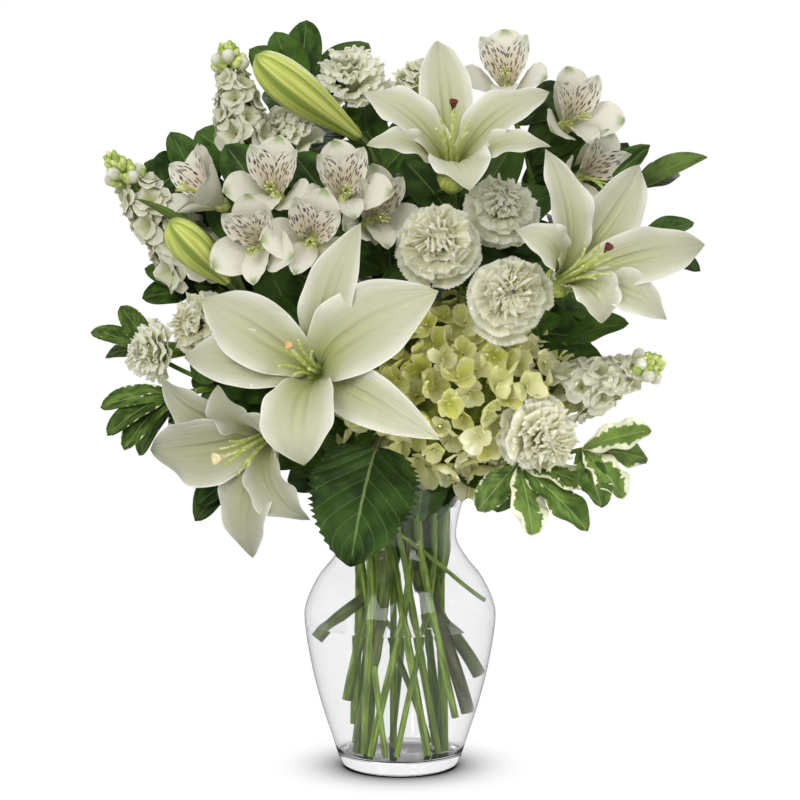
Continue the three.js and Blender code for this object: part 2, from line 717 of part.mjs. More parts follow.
const carnations = [
  { name: "carnation_1", heart: [-32, 50, 435], facing: [-0.1, -0.35, 0.93], size: 52 },
  { name: "carnation_2", heart: [24, -65, 338], facing: [-0.1, -0.9, 0.35], size: 52 },
  { name: "carnation_3", heart: [63, -40, 358], facing: [0.1, -0.8, 0.6], size: 47 },
  { name: "carnation_4", heart: [66, -80, 308], facing: [0.05, -0.95, 0.2], size: 52 },
  { name: "carnation_5", heart: [85, -70, 221], facing: [0.45, -0.85, -0.1], size: 50 },
  { name: "carnation_6", heart: [-124, -50, 288], facing: [-0.6, -0.7, 0.3], size: 45 },
  { name: "carnation_7", heart: [-156, -25, 268], facing: [-0.93, -0.3, -0.05], size: 40 },
  { name: "carnation_8", heart: [-75, 18, 399], facing: [-0.4, -0.3, 0.85], size: 50 },
  { name: "carnation_9", heart: [16, 50, 430], facing: [0.1, 0.1, 0.97], size: 48 },
  { name: "carnation_10", heart: [62, 82, 306], facing: [0.5, 0.75, 0.4], size: 50 },
  { name: "carnation_11", heart: [-92, 84, 292], facing: [-0.55, 0.75, 0.3], size: 48 },
].map(baseFrom("heart", 28));

const stocks = [
  { name: "stock_top_left", base: [-97, -2, 396], tip: [-108, 0, 458], florets: 9, size: 12 },
  { name: "stock_left", base: [-124, -20, 319], tip: [-175, -20, 384], florets: 10, size: 12 },
  { name: "stock_right", base: [105, -40, 243], tip: [159, -60, 266], florets: 9, size: 12 },
];

// The base of a bloom lies behind its middle, against the way that it faces.
function baseFrom(key, depth) {
  return (bloom) => {
    const base = point(bloom[key]).addScaledVector(point(bloom.facing).normalize(), -depth);
    return { ...bloom, base: base.toArray() };
  };
}

const blooms = [...lilies, ...lilyBuds, ...alstroemerias, ...carnations, ...stocks];
const named = Object.fromEntries(blooms.map((bloom) => [bloom.name, bloom]));

// Where a stem or branch ends in a bloom, a little inside its base, and the way that it is going there.
const SINK = 1;
function endIn(name) {
  const { base, facing, tip } = named[name];
  const heading = (facing ? point(facing) : point(tip).sub(point(base))).normalize();
  return [point(base).addScaledVector(heading, SINK).toArray(), heading.toArray()];
}

// A branch from a place on the stem to the base of a bloom.
function branchTo(name, from, leave, radius = 2.2) {
  const [to, arrive] = endIn(name);
  return { from, leave, to, arrive, radius };
}

// A stem that ends in the base of one bloom.
function stemTo(name, place, radius, rest = {}) {
  const [head, heading] = endIn(name);
  return { slot: place, radius, head, heading, ...rest };
}

const slot = (ring, place, foot) => ({ ring, place, foot });
const calyxesOf = (...names) => names.map((name) => named[name]);

// The stalk of a stock spike runs on through its florets to the buds at its tip.
function stockStem(name, place, rest = {}) {
  const { base, tip } = named[name];
  const along = point(tip).sub(point(base));
  const stalk = { from: [0, 1], leave: along.toArray(), to: tip, arrive: along.toArray(), radius: 2.2 };
  return { ...stemTo(name, place, 3, rest), branches: [stalk], buds: spikeBuds(base, tip, 6) };
}

const stems = {
  stem_lily_left: {
    slot: slot("outer", 13),
    radius: 3.3,
    head: [-50, -28, 235],
    heading: [-0.4, -0.5, 0.75],
    colour: "lilyStem",
    branches: [
      branchTo("lily_front", [0, 1], [-0.3, -0.6, 0.7]),
      branchTo("lily_low_left", [0, 0.95], [-0.5, -0.8, 0.2]),
      branchTo("lily_bud_left", [0, 1], [-0.6, -0.2, 0.8]),
    ],
    leaves: [{ style: "narrow", from: [3, 0.8], to: [-162, -62, 366], half: 7, up: [0, 0.6, 1] }],
  },
  stem_lily_right: {
    slot: slot("inner", 0),
    radius: 3.3,
    head: [48, -12, 300],
    heading: [0.3, -0.1, 0.95],
    colour: "lilyStem",
    branches: [
      branchTo("lily_top", [0, 1], [0, 0.1, 1]),
      branchTo("lily_right", [0, 1], [0.6, -0.4, 0.5]),
    ],
  },
  stem_lily_back: {
    slot: slot("inner", 1),
    radius: 3.2,
    head: [-10, 16, 330],
    heading: [-0.1, 0.1, 1],
    colour: "lilyStem",
    branches: [
      branchTo("lily_bud_top", [0, 1], [0, 0, 1]),
      branchTo("lily_back", [0, 0.8], [-0.2, 0.7, 0.6]),
    ],
    leaves: [{ style: "narrow", from: [0, 0.95], to: [36, -22, 371], half: 7, up: [-0.5, 0, 1] }],
  },
  stem_alstroemeria_left: {
    slot: slot("middle", 5),
    radius: 2.4,
    head: [-78, -28, 312],
    heading: [-0.3, -0.1, 0.9],
    branches: ["alstroemeria_1", "alstroemeria_2", "alstroemeria_4"].map((name) =>
      branchTo(name, [0, 1], [-0.2, -0.1, 1], 1.6),
    ),
  },
  stem_alstroemeria_middle: {
    slot: slot("middle", 6),
    radius: 2.4,
    head: [-34, -28, 316],
    heading: [-0.1, -0.1, 0.9],
    branches: ["alstroemeria_3", "alstroemeria_5", "alstroemeria_6"].map((name) =>
      branchTo(name, [0, 1], [0, -0.1, 1], 1.6),
    ),
  },
  stem_alstroemeria_right: {
    slot: slot("middle", 1),
    radius: 2.4,
    head: [82, 16, 368],
    heading: [0.2, 0, 0.95],
    branches: ["alstroemeria_7", "alstroemeria_8", "alstroemeria_9"].map((name) =>
      branchTo(name, [0, 1], [0.1, 0, 1], 1.6),
    ),
  },
  stem_carnations_front: {
    slot: slot("middle", 7),
    radius: 2.3,
    head: [44, -36, 290],
    heading: [0.1, -0.1, 0.95],
    branches: ["carnation_2", "carnation_3", "carnation_4"].map((name) =>
      branchTo(name, [0, 1], [0, 0, 1], 1.8),
    ),
    calyxes: calyxesOf("carnation_2", "carnation_3", "carnation_4"),
  },
  stem_carnation_low: {
    ...stemTo("carnation_5", slot("outer", 1, 40), 2.2, { rise: 72 }),
    calyxes: calyxesOf("carnation_5"),
  },
  stem_carnations_left: {
    slot: slot("outer", 12, 30),
    radius: 2.3,
    head: [-98, -26, 252],
    heading: [-0.8, -0.2, 0.4],
    rise: 90,
    branches: ["carnation_6", "carnation_7"].map((name) =>
      branchTo(name, [0, 1], [-0.8, -0.2, 0.4], 1.8),
    ),
    calyxes: calyxesOf("carnation_6", "carnation_7"),
  },
  stem_carnations_top: {
    slot: slot("middle", 2),
    radius: 2.3,
    head: [-6, 44, 376],
    heading: [0, 0.1, 0.95],
    branches: ["carnation_1", "carnation_9"].map((name) => branchTo(name, [0, 1], [0, 0, 1], 1.8)),
    calyxes: calyxesOf("carnation_1", "carnation_9"),
  },
  stem_carnation_high: {
    ...stemTo("carnation_8", slot("inner", 2), 2.2),
    calyxes: calyxesOf("carnation_8"),
  },
  stem_carnation_back_right: {
    ...stemTo("carnation_10", slot("outer", 5, 26), 2.2),
    calyxes: calyxesOf("carnation_10"),
  },
  stem_carnation_back_left: {
    ...stemTo("carnation_11", slot("outer", 7, 22), 2.2),
    calyxes: calyxesOf("carnation_11"),
  },
  stem_stock_top_left: stockStem("stock_top_left", slot("middle", 4)),
  stem_stock_left: stockStem("stock_left", slot("outer", 10)),
  stem_stock_right: stockStem("stock_right", slot("outer", 3), { rise: 99 }),
  stem_hydrangea: {
    slot: slot("middle", 0),
    radius: 4.3,
    head: [31, -18, 243],
    heading: [0.1, -0.1, 1],
    steps: 4,
    colour: "woodyStem",
    branches: [
      { from: [0, 0.96], leave: [-1, -0.3, 0], to: [-15, -66, 211], arrive: [-0.1, -0.8, -0.6] },
    ].map((branch) => ({ radius: 2, ...branch })),
    leaves: [{ style: "toothed", from: [1, 0.95], to: [-30, -94, 144], half: 33, up: [-0.1, -0.9, 0.4] }],
  },
};

const sprays = {
  pittosporum_right: {
    slot: slot("outer", 0),
    radius: 1.9,
    head: [73, -66, 202],
    heading: [0.6, -0.5, -0.4],
    rise: 80,
    colour: "pittosporum",
    branches: [
      { from: [0, 0.97], leave: [0.9, 0, 0.1], to: [112, -62, 212], arrive: [0.9, -0.2, 0.2] },
    ].map((branch) => ({ radius: 1.5, ...branch })),
    leaves: [
      { from: [0, 0.97], to: [47, -85, 177], half: 10 },
      { from: [0, 0.99], to: [80, -95, 163], half: 12 },
      { from: [0, 0.99], to: [114, -88, 165], half: 12 },
      { from: [0, 0.95], to: [121, -75, 188], half: 10 },
      { from: [0, 0.92], to: [60, -55, 172], half: 10 },
      { from: [1, 0.99], to: [154, -72, 225], half: 11 },
      { from: [1, 0.99], to: [136, -82, 184], half: 12 },
      { from: [1, 0.93], to: [122, -92, 180], half: 11 },
      { from: [1, 0.95], to: [153, -50, 204], half: 11 },
    ].map((leaf) => ({ style: "pittosporum", up: [0.3, -0.7, 0.7], ...leaf })),
  },
  pittosporum_left: {
    slot: slot("outer", 11),
    radius: 1.9,
    head: [-143, -35, 242],
    heading: [-0.9, -0.2, -0.1],
    rise: 126,
    colour: "pittosporum",
    branches: [
      { from: [0, 0.8], leave: [-0.8, 0.2, 0.5], to: [-157, -12, 268], arrive: [-0.7, 0.2, 0.6] },
      { from: [0, 0.62], leave: [-0.6, -0.2, -0.1], to: [-86, -35, 195], arrive: [-0.5, -0.4, -0.7] },
    ].map((branch) => ({ radius: 1.5, ...branch })),
    leaves: [
      { from: [0, 0.99], to: [-186, -35, 234], half: 10 },
      { from: [0, 0.99], to: [-180, -55, 219], half: 10 },
      { from: [0, 0.97], to: [-169, -62, 211], half: 10 },
      { from: [0, 0.96], to: [-162, -34, 204], half: 10 },
      { from: [0, 0.93], to: [-133, -52, 211], half: 9 },
      { from: [1, 0.99], to: [-194, -12, 279], half: 8 },
      { from: [1, 0.97], to: [-175, -15, 296], half: 8 },
      { from: [1, 0.95], to: [-186, 10, 262], half: 8 },
      { style: "broad", from: [2, 0.98], to: [-126, -48, 174], half: 14 },
      { style: "broad", from: [2, 0.9], to: [-96, -66, 184], half: 12 },
    ].map((leaf) => ({ style: "pittosporum", up: [-0.3, -0.6, 0.8], ...leaf })),
  },
  greenery_high_left: {
    slot: slot("outer", 9),
    radius: 1.9,
    head: [-129, 2, 364],
    heading: [-0.4, 0, 0.9],
    colour: "broadleaf",
    branches: [
      { from: [0, 0.65], leave: [-0.5, -0.3, 0.7], to: [-133, -5, 304], arrive: [-0.8, -0.3, 0.2] },
    ].map((branch) => ({ radius: 1.4, ...branch })),
    leaves: [
      { from: [0, 0.99], to: [-144, 0, 404], half: 12 },
      { from: [0, 0.98], to: [-161, 7, 384], half: 11 },
      { from: [0, 0.98], to: [-120, 18, 406], half: 12 },
      { from: [0, 0.92], to: [-152, 26, 366], half: 12 },
      { from: [1, 0.98], to: [-161, -20, 301], half: 9 },
      { from: [1, 0.95], to: [-160, -12, 319], half: 9 },
      { from: [0, 0.82], to: [-118, 38, 350], half: 12 },
    ].map((leaf) => ({ style: "broad", up: [0.3, -0.8, 0.5], ...leaf })),
  },
  greenery_top: {
    slot: slot("middle", 3),
    radius: 1.9,
    head: [-64, 46, 426],
    heading: [-0.1, 0.1, 1],
    colour: "broadleaf",
    leaves: [
      { from: [0, 0.99], to: [-96, 35, 455], half: 13 },
      { from: [0, 0.99], to: [-80, 42, 466], half: 13 },
      { from: [0, 0.99], to: [-60, 68, 473], half: 12 },
      { from: [0, 0.96], to: [-20, 70, 458], half: 13 },
      { from: [0, 0.92], to: [-84, 76, 430], half: 13 },
      { from: [0, 0.86], to: [-40, 82, 404], half: 13 },
      { from: [0, 0.82], to: [-96, 60, 394], half: 13 },
    ].map((leaf) => ({ style: "broad", up: [0, -0.9, 0.5], ...leaf })),
  },
  greenery_right: {
    slot: slot("outer", 2),
    radius: 1.9,
    head: [121, 28, 350],
    heading: [0.5, 0, 0.85],
    colour: "broadleaf",
    branches: [
      { from: [0, 1], leave: [0.5, 0, 0.85], to: [152, 25, 367], arrive: [0.9, 0, 0.4] },
      { from: [0, 0.8], leave: [0.7, -0.2, 0.6], to: [151, 5, 330], arrive: [0.9, -0.3, 0.1] },
      { from: [0, 0.55], leave: [0.5, -0.4, 0.6], to: [104, -34, 274], arrive: [0.7, -0.6, 0.1] },
    ].map((branch) => ({ radius: 1.4, ...branch })),
    leaves: [
      { from: [0, 0.98], to: [145, 30, 396], half: 12 },
      { from: [1, 0.98], to: [195, 20, 387], half: 9, style: "narrow" },
      { from: [1, 0.93], to: [178, 46, 376], half: 10 },
      { from: [2, 0.98], to: [188, -10, 317], half: 9 },
      { from: [2, 0.93], to: [186, 14, 346], half: 9 },
      { from: [3, 0.97], to: [141, -50, 288], half: 11 },
      { from: [0, 0.75], to: [140, 48, 312], half: 12 },
    ].map((leaf) => ({ style: "broad", up: [0, -0.7, 0.7], ...leaf })),
  },
};

// Plain sprays that fill the back of the bouquet.
const FILLER_STEM = { radius: 1.9, rise: 106 };
const FILLER_LEAVES = { count: 8, start: 0.45, length: 46, half: 15 };
const fillers = {
  greenery_back_right: { place: 4, head: [118, 72, 262], heading: [0.6, 0.35, 0.5], style: "broad" },
  pittosporum_back: { place: 6, head: [6, 112, 236], heading: [0.05, 0.9, 0.2], style: "pittosporum" },
  greenery_back_left: { place: 8, head: [-122, 76, 250], heading: [-0.6, 0.35, 0.4], style: "broad" },
};

for (const [name, { place, head, heading, style }] of Object.entries(fillers)) {
  const stem = { ...FILLER_STEM, slot: slot("outer", place), head, heading };
  const leaves = { ...FILLER_LEAVES, style };
  const colour = style === "broad" ? "broadleaf" : "pittosporum";
  sprays[name] = { ...stem, colour, leaves: leavesAlong(stemPath(stem).upper, leaves) };
}

// ---------- fitting the pieces together ----------
// Every stem keeps its whole length. Each bloom, then each leaf, is cut clear of what comes before it.
const allStems = Object.entries({ ...stems, ...sprays });
const grownStems = allStems.map(([, stem]) => stemSolid(stem, GAP));

const bouquet = new THREE.Group();
const placed = [vaseSolid(GAP), ...grownStems];

function addBloom(name, colour, roughness, make) {
  bouquet.add(meshOf(name, colour, roughness, mainBody(carve(make(0), placed))));
  placed.push(make(GAP));
}

function addBlooms(flowers, colour, roughness, make) {
  for (const flower of flowers) addBloom(flower.name, colour, roughness, (grow) => make(flower, grow));
}

addBlooms(lilies, COLOURS.lily, 0.5, lilySolid);
addBlooms(lilyBuds, COLOURS.bud, 0.55, lilyBudSolid);
addBlooms(alstroemerias, COLOURS.alstroemeria, 0.55, alstroemeriaSolid);
addBlooms(carnations, COLOURS.carnation, 0.75, carnationSolid);
addBlooms(stocks, COLOURS.stock, 0.75, stockSolid);
addBloom("hydrangea_head", COLOURS.hydrangea, 0.7, hydrangeaSolid);

allStems.forEach(([name, stem], k) => {
  const others = placed.filter((body) => body !== grownStems[k]);
  const lines = stemLines(stem);
  const leaves = (stem.leaves ?? []).map((leaf) => carve(leafSolid(leaf, lines), others));
  const whole = mainBody(join([stemSolid(stem), ...leaves]));
  bouquet.add(meshOf(name, COLOURS[stem.colour ?? "stem"], 0.6, whole));
  for (const leaf of stem.leaves ?? []) placed.push(leafSolid(leaf, lines, GAP));
});

const vessel = new THREE.Group();
vessel.add(meshOf("vase", COLOURS.glass, 0.03, vaseSolid()));
vessel.add(meshOf("water", COLOURS.water, 0.02, carve(waterSolid(), grownStems)));

const part = new THREE.Group();
part.add(vessel, bouquet);
export default part;
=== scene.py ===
# %% [markdown]
# # A white bouquet in a glass vase
# The real thing is a clear urn vase, half full of water, with lilies, alstroemeria, carnations, stock, a
# hydrangea head and leafy stems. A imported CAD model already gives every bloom, stem and leaf its place.
# This script leaves that model where it is and grows the fine surfaces on it. Each piece takes over one
# CAD node.

from functools import lru_cache
from typing import NamedTuple

import bpy
import numpy as np
from mathutils import Matrix


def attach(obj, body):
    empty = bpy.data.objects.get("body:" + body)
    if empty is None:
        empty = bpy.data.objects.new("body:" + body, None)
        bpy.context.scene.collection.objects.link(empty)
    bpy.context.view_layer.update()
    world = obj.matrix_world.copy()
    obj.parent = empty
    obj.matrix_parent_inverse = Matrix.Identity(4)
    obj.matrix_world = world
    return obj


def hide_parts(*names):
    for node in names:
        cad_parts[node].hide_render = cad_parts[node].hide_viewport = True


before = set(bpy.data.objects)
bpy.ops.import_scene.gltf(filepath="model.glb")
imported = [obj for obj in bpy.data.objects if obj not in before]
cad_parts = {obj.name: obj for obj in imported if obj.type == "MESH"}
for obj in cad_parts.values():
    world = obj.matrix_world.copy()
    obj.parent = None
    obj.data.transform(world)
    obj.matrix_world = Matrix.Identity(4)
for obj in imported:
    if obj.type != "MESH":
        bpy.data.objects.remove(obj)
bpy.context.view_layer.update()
MM = 0.001  # sizes below are in millimetres, and a mesh is written in metres
print(len(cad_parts), "CAD nodes")

# %% [markdown]
# ## Vectors and curves
# A bloom is drawn in a frame of its own, in which it looks along its third axis, and is then carried to
# its place. Stems, midribs and outlines are cubic curves, so one short formula serves them all.


# %% Vectors
def unit(vectors):
    """Each row divided by its length."""
    vectors = np.asarray(vectors, float)
    return vectors / np.maximum(np.linalg.norm(vectors, axis=-1, keepdims=True), 1e-12)


def axes_of(facing):
    """Rows x, y and n of a bloom that looks along n: y is its upper side and x its right."""
    n = unit(facing)
    up = np.array([0, 0.35, 1.0])
    y = unit(up - n * (up @ n))
    return np.stack([np.cross(y, n), y, n])


def polar(radius, degrees, height=0.0):
    """The point radius * (cos, sin) of an angle, at a height."""
    u = np.radians(degrees)
    return np.array([radius * np.cos(u), radius * np.sin(u), height])


def about_axis(degrees):
    """What rows of points are multiplied by to turn them about the third axis."""
    c, s = np.cos(np.radians(degrees)), np.sin(np.radians(degrees))
    return np.array([[c, s, 0], [-s, c, 0], [0, 0, 1]])


# %% Curves
def bezier(controls, t):
    """The cubic p (1-t)^3 + 3 q t (1-t)^2 + 3 r t^2 (1-t) + s t^3 of four control points."""
    p, q, r, s = np.asarray(controls, float)
    t = np.asarray(t, float)[..., None]
    return p * (1 - t) ** 3 + 3 * q * t * (1 - t) ** 2 + 3 * r * t**2 * (1 - t) + s * t**3


def bezier_slope(controls, t):
    """Its direction, of length 1: the cubic's derivative 3 (q-p)(1-t)^2 + 6 (r-q) t (1-t) + 3 (s-r) t^2."""
    p, q, r, s = np.asarray(controls, float)
    t = np.asarray(t, float)[..., None]
    return unit(3 * (q - p) * (1 - t) ** 2 + 6 * (r - q) * t * (1 - t) + 3 * (s - r) * t**2)


def smooth_line(points, steps=6):
    """A curve through the points, in cubics whose slope at a point is half of next minus previous."""
    points = np.asarray(points, float)
    slope = np.gradient(points, axis=0)
    t = (np.arange(steps) / steps)[None, :, None]
    a, b, m, n = points[:-1, None], points[1:, None], slope[:-1, None], slope[1:, None]
    curve = (2 * t**3 - 3 * t**2 + 1) * a + (t**3 - 2 * t**2 + t) * m
    curve = curve + (3 * t**2 - 2 * t**3) * b + (t**3 - t**2) * n
    return np.concatenate([curve.reshape(-1, points.shape[1]), points[-1:]])


# %% [markdown]
# ## Closed skins and thin blades
# A stem, bud or vase is a row of rings under one closed skin. A petal or leaf is a thin lens: two sheets
# that part in the middle and meet at the rim. A single open sheet would be simpler, but a lens has an
# inside, so it casts a soft shadow, takes light through it and can be printed. Both keep two numbers for
# the finish: how far along and how far across a point lies. A third, the tone, differs from petal to
# petal.


# %% Shapes
class Shape(NamedTuple):
    """Points, triangles, (across, along) of each point from 0 to 1, and its tone."""

    points: np.ndarray
    faces: np.ndarray
    uv: np.ndarray
    tone: np.ndarray

    def placed(self, base, facing):
        """Carried from a bloom's own frame to base, looking along facing."""
        return self._replace(points=np.asarray(base, float) + self.points @ axes_of(facing))

    def spun(self, degrees):
        """Turned about its own third axis."""
        return self._replace(points=self.points @ about_axis(degrees))


def joined(shapes):
    """Several shapes as one list of points and triangles."""
    starts = np.cumsum([0] + [len(shape.points) for shape in shapes[:-1]])
    faces = np.concatenate([shape.faces + start for shape, start in zip(shapes, starts)])
    points, uv, tone = (np.concatenate([getattr(s, k) for s in shapes]) for k in ("points", "uv", "tone"))
    return Shape(points, faces, uv, tone)


# %% A skin over rings
def skin(rings, start, end, tone=0.5):
    """Rings (rows, sides, 3) under a skin of triangles, closed by a fan from start and one to end."""
    rows, sides = rings.shape[:2]
    at = 1 + np.arange(rows * sides).reshape(rows, sides)
    right = np.roll(at, -1, axis=1)
    last = rows * sides + 1
    p, q, r, s = at[:-1], right[:-1], right[1:], at[1:]
    walls = [np.stack(corners, -1).reshape(-1, 3) for corners in ((p, q, r), (p, r, s))]
    fans = [
        np.stack([np.zeros(sides, int), right[0], at[0]], -1),
        np.stack([np.full(sides, last), at[-1], right[-1]], -1),
    ]
    across, along = np.meshgrid(np.arange(sides) / sides, np.linspace(0, 1, rows))
    uv = np.concatenate([[[0.5, 0]], np.stack([across, along], -1).reshape(-1, 2), [[0.5, 1]]])
    points = np.concatenate([[start], rings.reshape(-1, 3), [end]])
    return Shape(points, np.concatenate(walls + fans), uv, np.full(len(points), tone))


def turned(outline, sides, tone=0.5, flute=0.0, flutes=3):
    """An outline of (radius, height) turned about the third axis. Its ends lie on the axis.

    With flute the radius becomes radius * (1 + flute * cos(flutes * angle)), as on a bud.
    """
    outline = np.asarray(outline, float)
    u = 2 * np.pi * np.arange(sides) / sides
    swell = 1 + flute * np.cos(flutes * u)
    radius = outline[1:-1, :1] * swell
    rings = np.stack([radius * np.cos(u), radius * np.sin(u), outline[1:-1, 1:] + 0 * u], -1)
    return skin(rings, [0, 0, outline[0, 1]], [0, 0, outline[-1, 1]], tone)


def rod(path, radius, sides, tone=0.5):
    """A round rod along a path: rings radius * (cos u side + sin u other), square to the path."""
    path = np.asarray(path, float)
    forward = unit(np.gradient(path, axis=0))
    reference = np.eye(3)[np.argmin(np.abs(forward).max(0))]
    side = unit(np.cross(forward, reference))
    other = np.cross(forward, side)
    u = (2 * np.pi * np.arange(sides) / sides)[None, :, None]
    thick = np.broadcast_to(radius, len(path))[:, None, None]
    rings = path[:, None] + thick * (np.cos(u) * side[:, None] + np.sin(u) * other[:, None])
    return skin(rings, path[0], path[-1], tone)


def bead(centre, radius, length, tone, sides, facing=(0, 0, 1)):
    """A small ellipsoid from centre along facing: an outline radius * sin, length * (1 - cos) / 2."""
    u = np.linspace(0, np.pi, 7)
    outline = np.stack([radius * np.sin(u), length * (1 - np.cos(u)) / 2], -1)
    return turned(outline, sides, tone).placed(centre, facing)


# %% A thin blade
@lru_cache
def blade_faces(rows, columns, pointed):
    """Which points a blade keeps, and its triangles: two sheets that share their rim.

    All points of the first row are one point. So are those of the last row, if the blade is pointed.
    """
    front = np.arange((rows + 1) * (columns + 1)).reshape(rows + 1, columns + 1)
    front[0] = front[0, 0]
    if pointed:
        front[-1] = front[-1, 0]
    back = front + front.size
    back[:, [0, -1]] = front[:, [0, -1]]
    back[[0, -1]] = front[[0, -1]]
    faces = []
    for sheet, turn in ((front, 1), (back, -1)):
        p, q, r, s = sheet[:-1, :-1], sheet[:-1, 1:], sheet[1:, 1:], sheet[1:, :-1]
        faces += [np.stack(three, -1).reshape(-1, 3)[:, ::turn] for three in ((p, s, r), (p, r, q))]
    faces = np.concatenate(faces)
    faces = faces[(faces != np.roll(faces, 1, axis=1)).all(axis=1)]
    _, which, times = np.unique(np.sort(faces, axis=1), axis=0, return_inverse=True, return_counts=True)
    faces = faces[times[which.reshape(-1)] == 1]  # two sheets that meet in the same triangle lose it there
    kept, compact = np.unique(faces, return_inverse=True)
    return kept, compact.reshape(-1, 3)


def blade(surface, rows, columns, thick, tone, pointed=True):
    """A closed petal or leaf about surface(t, a), t from root to tip and a from -1 to 1 across.

    Its two sheets lie thick/2 * (1 - a^2) * (1 - (2t - 1)^10) in front of it and behind it.
    """
    t, a = np.meshgrid(np.linspace(0, 1, rows + 1), np.linspace(-1, 1, columns + 1), indexing="ij")
    middle = surface(t, a)
    normal = unit(np.cross(np.gradient(middle, axis=0), np.gradient(middle, axis=1)))
    half = (thick / 2 * (1 - a**2) * (1 - (2 * t - 1) ** 10))[..., None]
    points = np.concatenate([middle + normal * half, middle - normal * half]).reshape(-1, 3)
    uv = np.tile(np.stack([(a + 1) / 2, t], -1).reshape(-1, 2), (2, 1))
    kept, faces = blade_faces(rows, columns, pointed)
    return Shape(points[kept], faces, uv[kept], np.full(len(kept), float(tone)))


# %% [markdown]
# ## From a shape to an object
# One call writes the points into a mesh in metres, gives it its finish and hides the CAD node it stands
# for. Everything rides on the one body, because nothing in a bouquet turns.


# %% Make a piece
SHARP = np.radians(75)  # two faces that meet more sharply than this keep their edge


def piece(name, shapes, finish, node):
    """An object of one finish, in place of the named CAD node."""
    shape = joined(list(shapes))
    mesh = bpy.data.meshes.new(name)
    mesh.vertices.add(len(shape.points))
    mesh.vertices.foreach_set("co", (shape.points * MM).astype(np.float32).ravel())
    mesh.loops.add(shape.faces.size)
    mesh.loops.foreach_set("vertex_index", shape.faces.astype(np.int32).ravel())
    mesh.polygons.add(len(shape.faces))
    mesh.polygons.foreach_set("loop_start", np.arange(0, shape.faces.size, 3, dtype=np.int32))
    mesh.update(calc_edges=True)
    uv_map = mesh.uv_layers.new(name="UVMap")
    uv_map.data.foreach_set("uv", shape.uv[shape.faces].astype(np.float32).ravel())
    tone = mesh.attributes.new("tone", "FLOAT", "POINT")
    tone.data.foreach_set("value", shape.tone.astype(np.float32))
    mesh.polygons.foreach_set("use_smooth", np.ones(len(shape.faces), bool))
    mesh.set_sharp_from_angle(angle=SHARP)
    mesh.materials.append(finish)
    thing = bpy.data.objects.new(name, mesh)
    bpy.context.scene.collection.objects.link(thing)
    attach(thing, "root")
    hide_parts(node)
    print(f"{name}: {len(shape.faces)} triangles")


# %% [markdown]
# ## Writing shaders as sums
# A finish is a formula: this green, a little yellower near the root, with fine veins. A small class wraps
# a socket of the shader tree, so that such a formula can be typed as Python and adds its nodes by itself.


# %% Sockets that can be added
class Socket:
    """One output of a shader tree. Arithmetic on it adds Math nodes."""

    def __init__(self, shading, output):
        self.shading = shading
        self.output = output

    def __add__(self, other):
        return self.shading.math("ADD", self, other)

    def __sub__(self, other):
        return self.shading.math("SUBTRACT", self, other)

    def __rsub__(self, other):
        return self.shading.math("SUBTRACT", other, self)

    def __mul__(self, other):
        return self.shading.math("MULTIPLY", self, other)

    def __abs__(self):
        return self.shading.math("ABSOLUTE", self)

    __radd__ = __add__
    __rmul__ = __mul__


def colour(code):
    """The linear colour of six hexadecimal digits: ((v + 0.055) / 1.055)^2.4, or v / 12.92 in the dark."""
    value = np.array([int(code[k : k + 2], 16) for k in (0, 2, 4)]) / 255
    linear = np.where(value > 0.04045, ((value + 0.055) / 1.055) ** 2.4, value / 12.92)
    return (*linear.tolist(), 1.0)


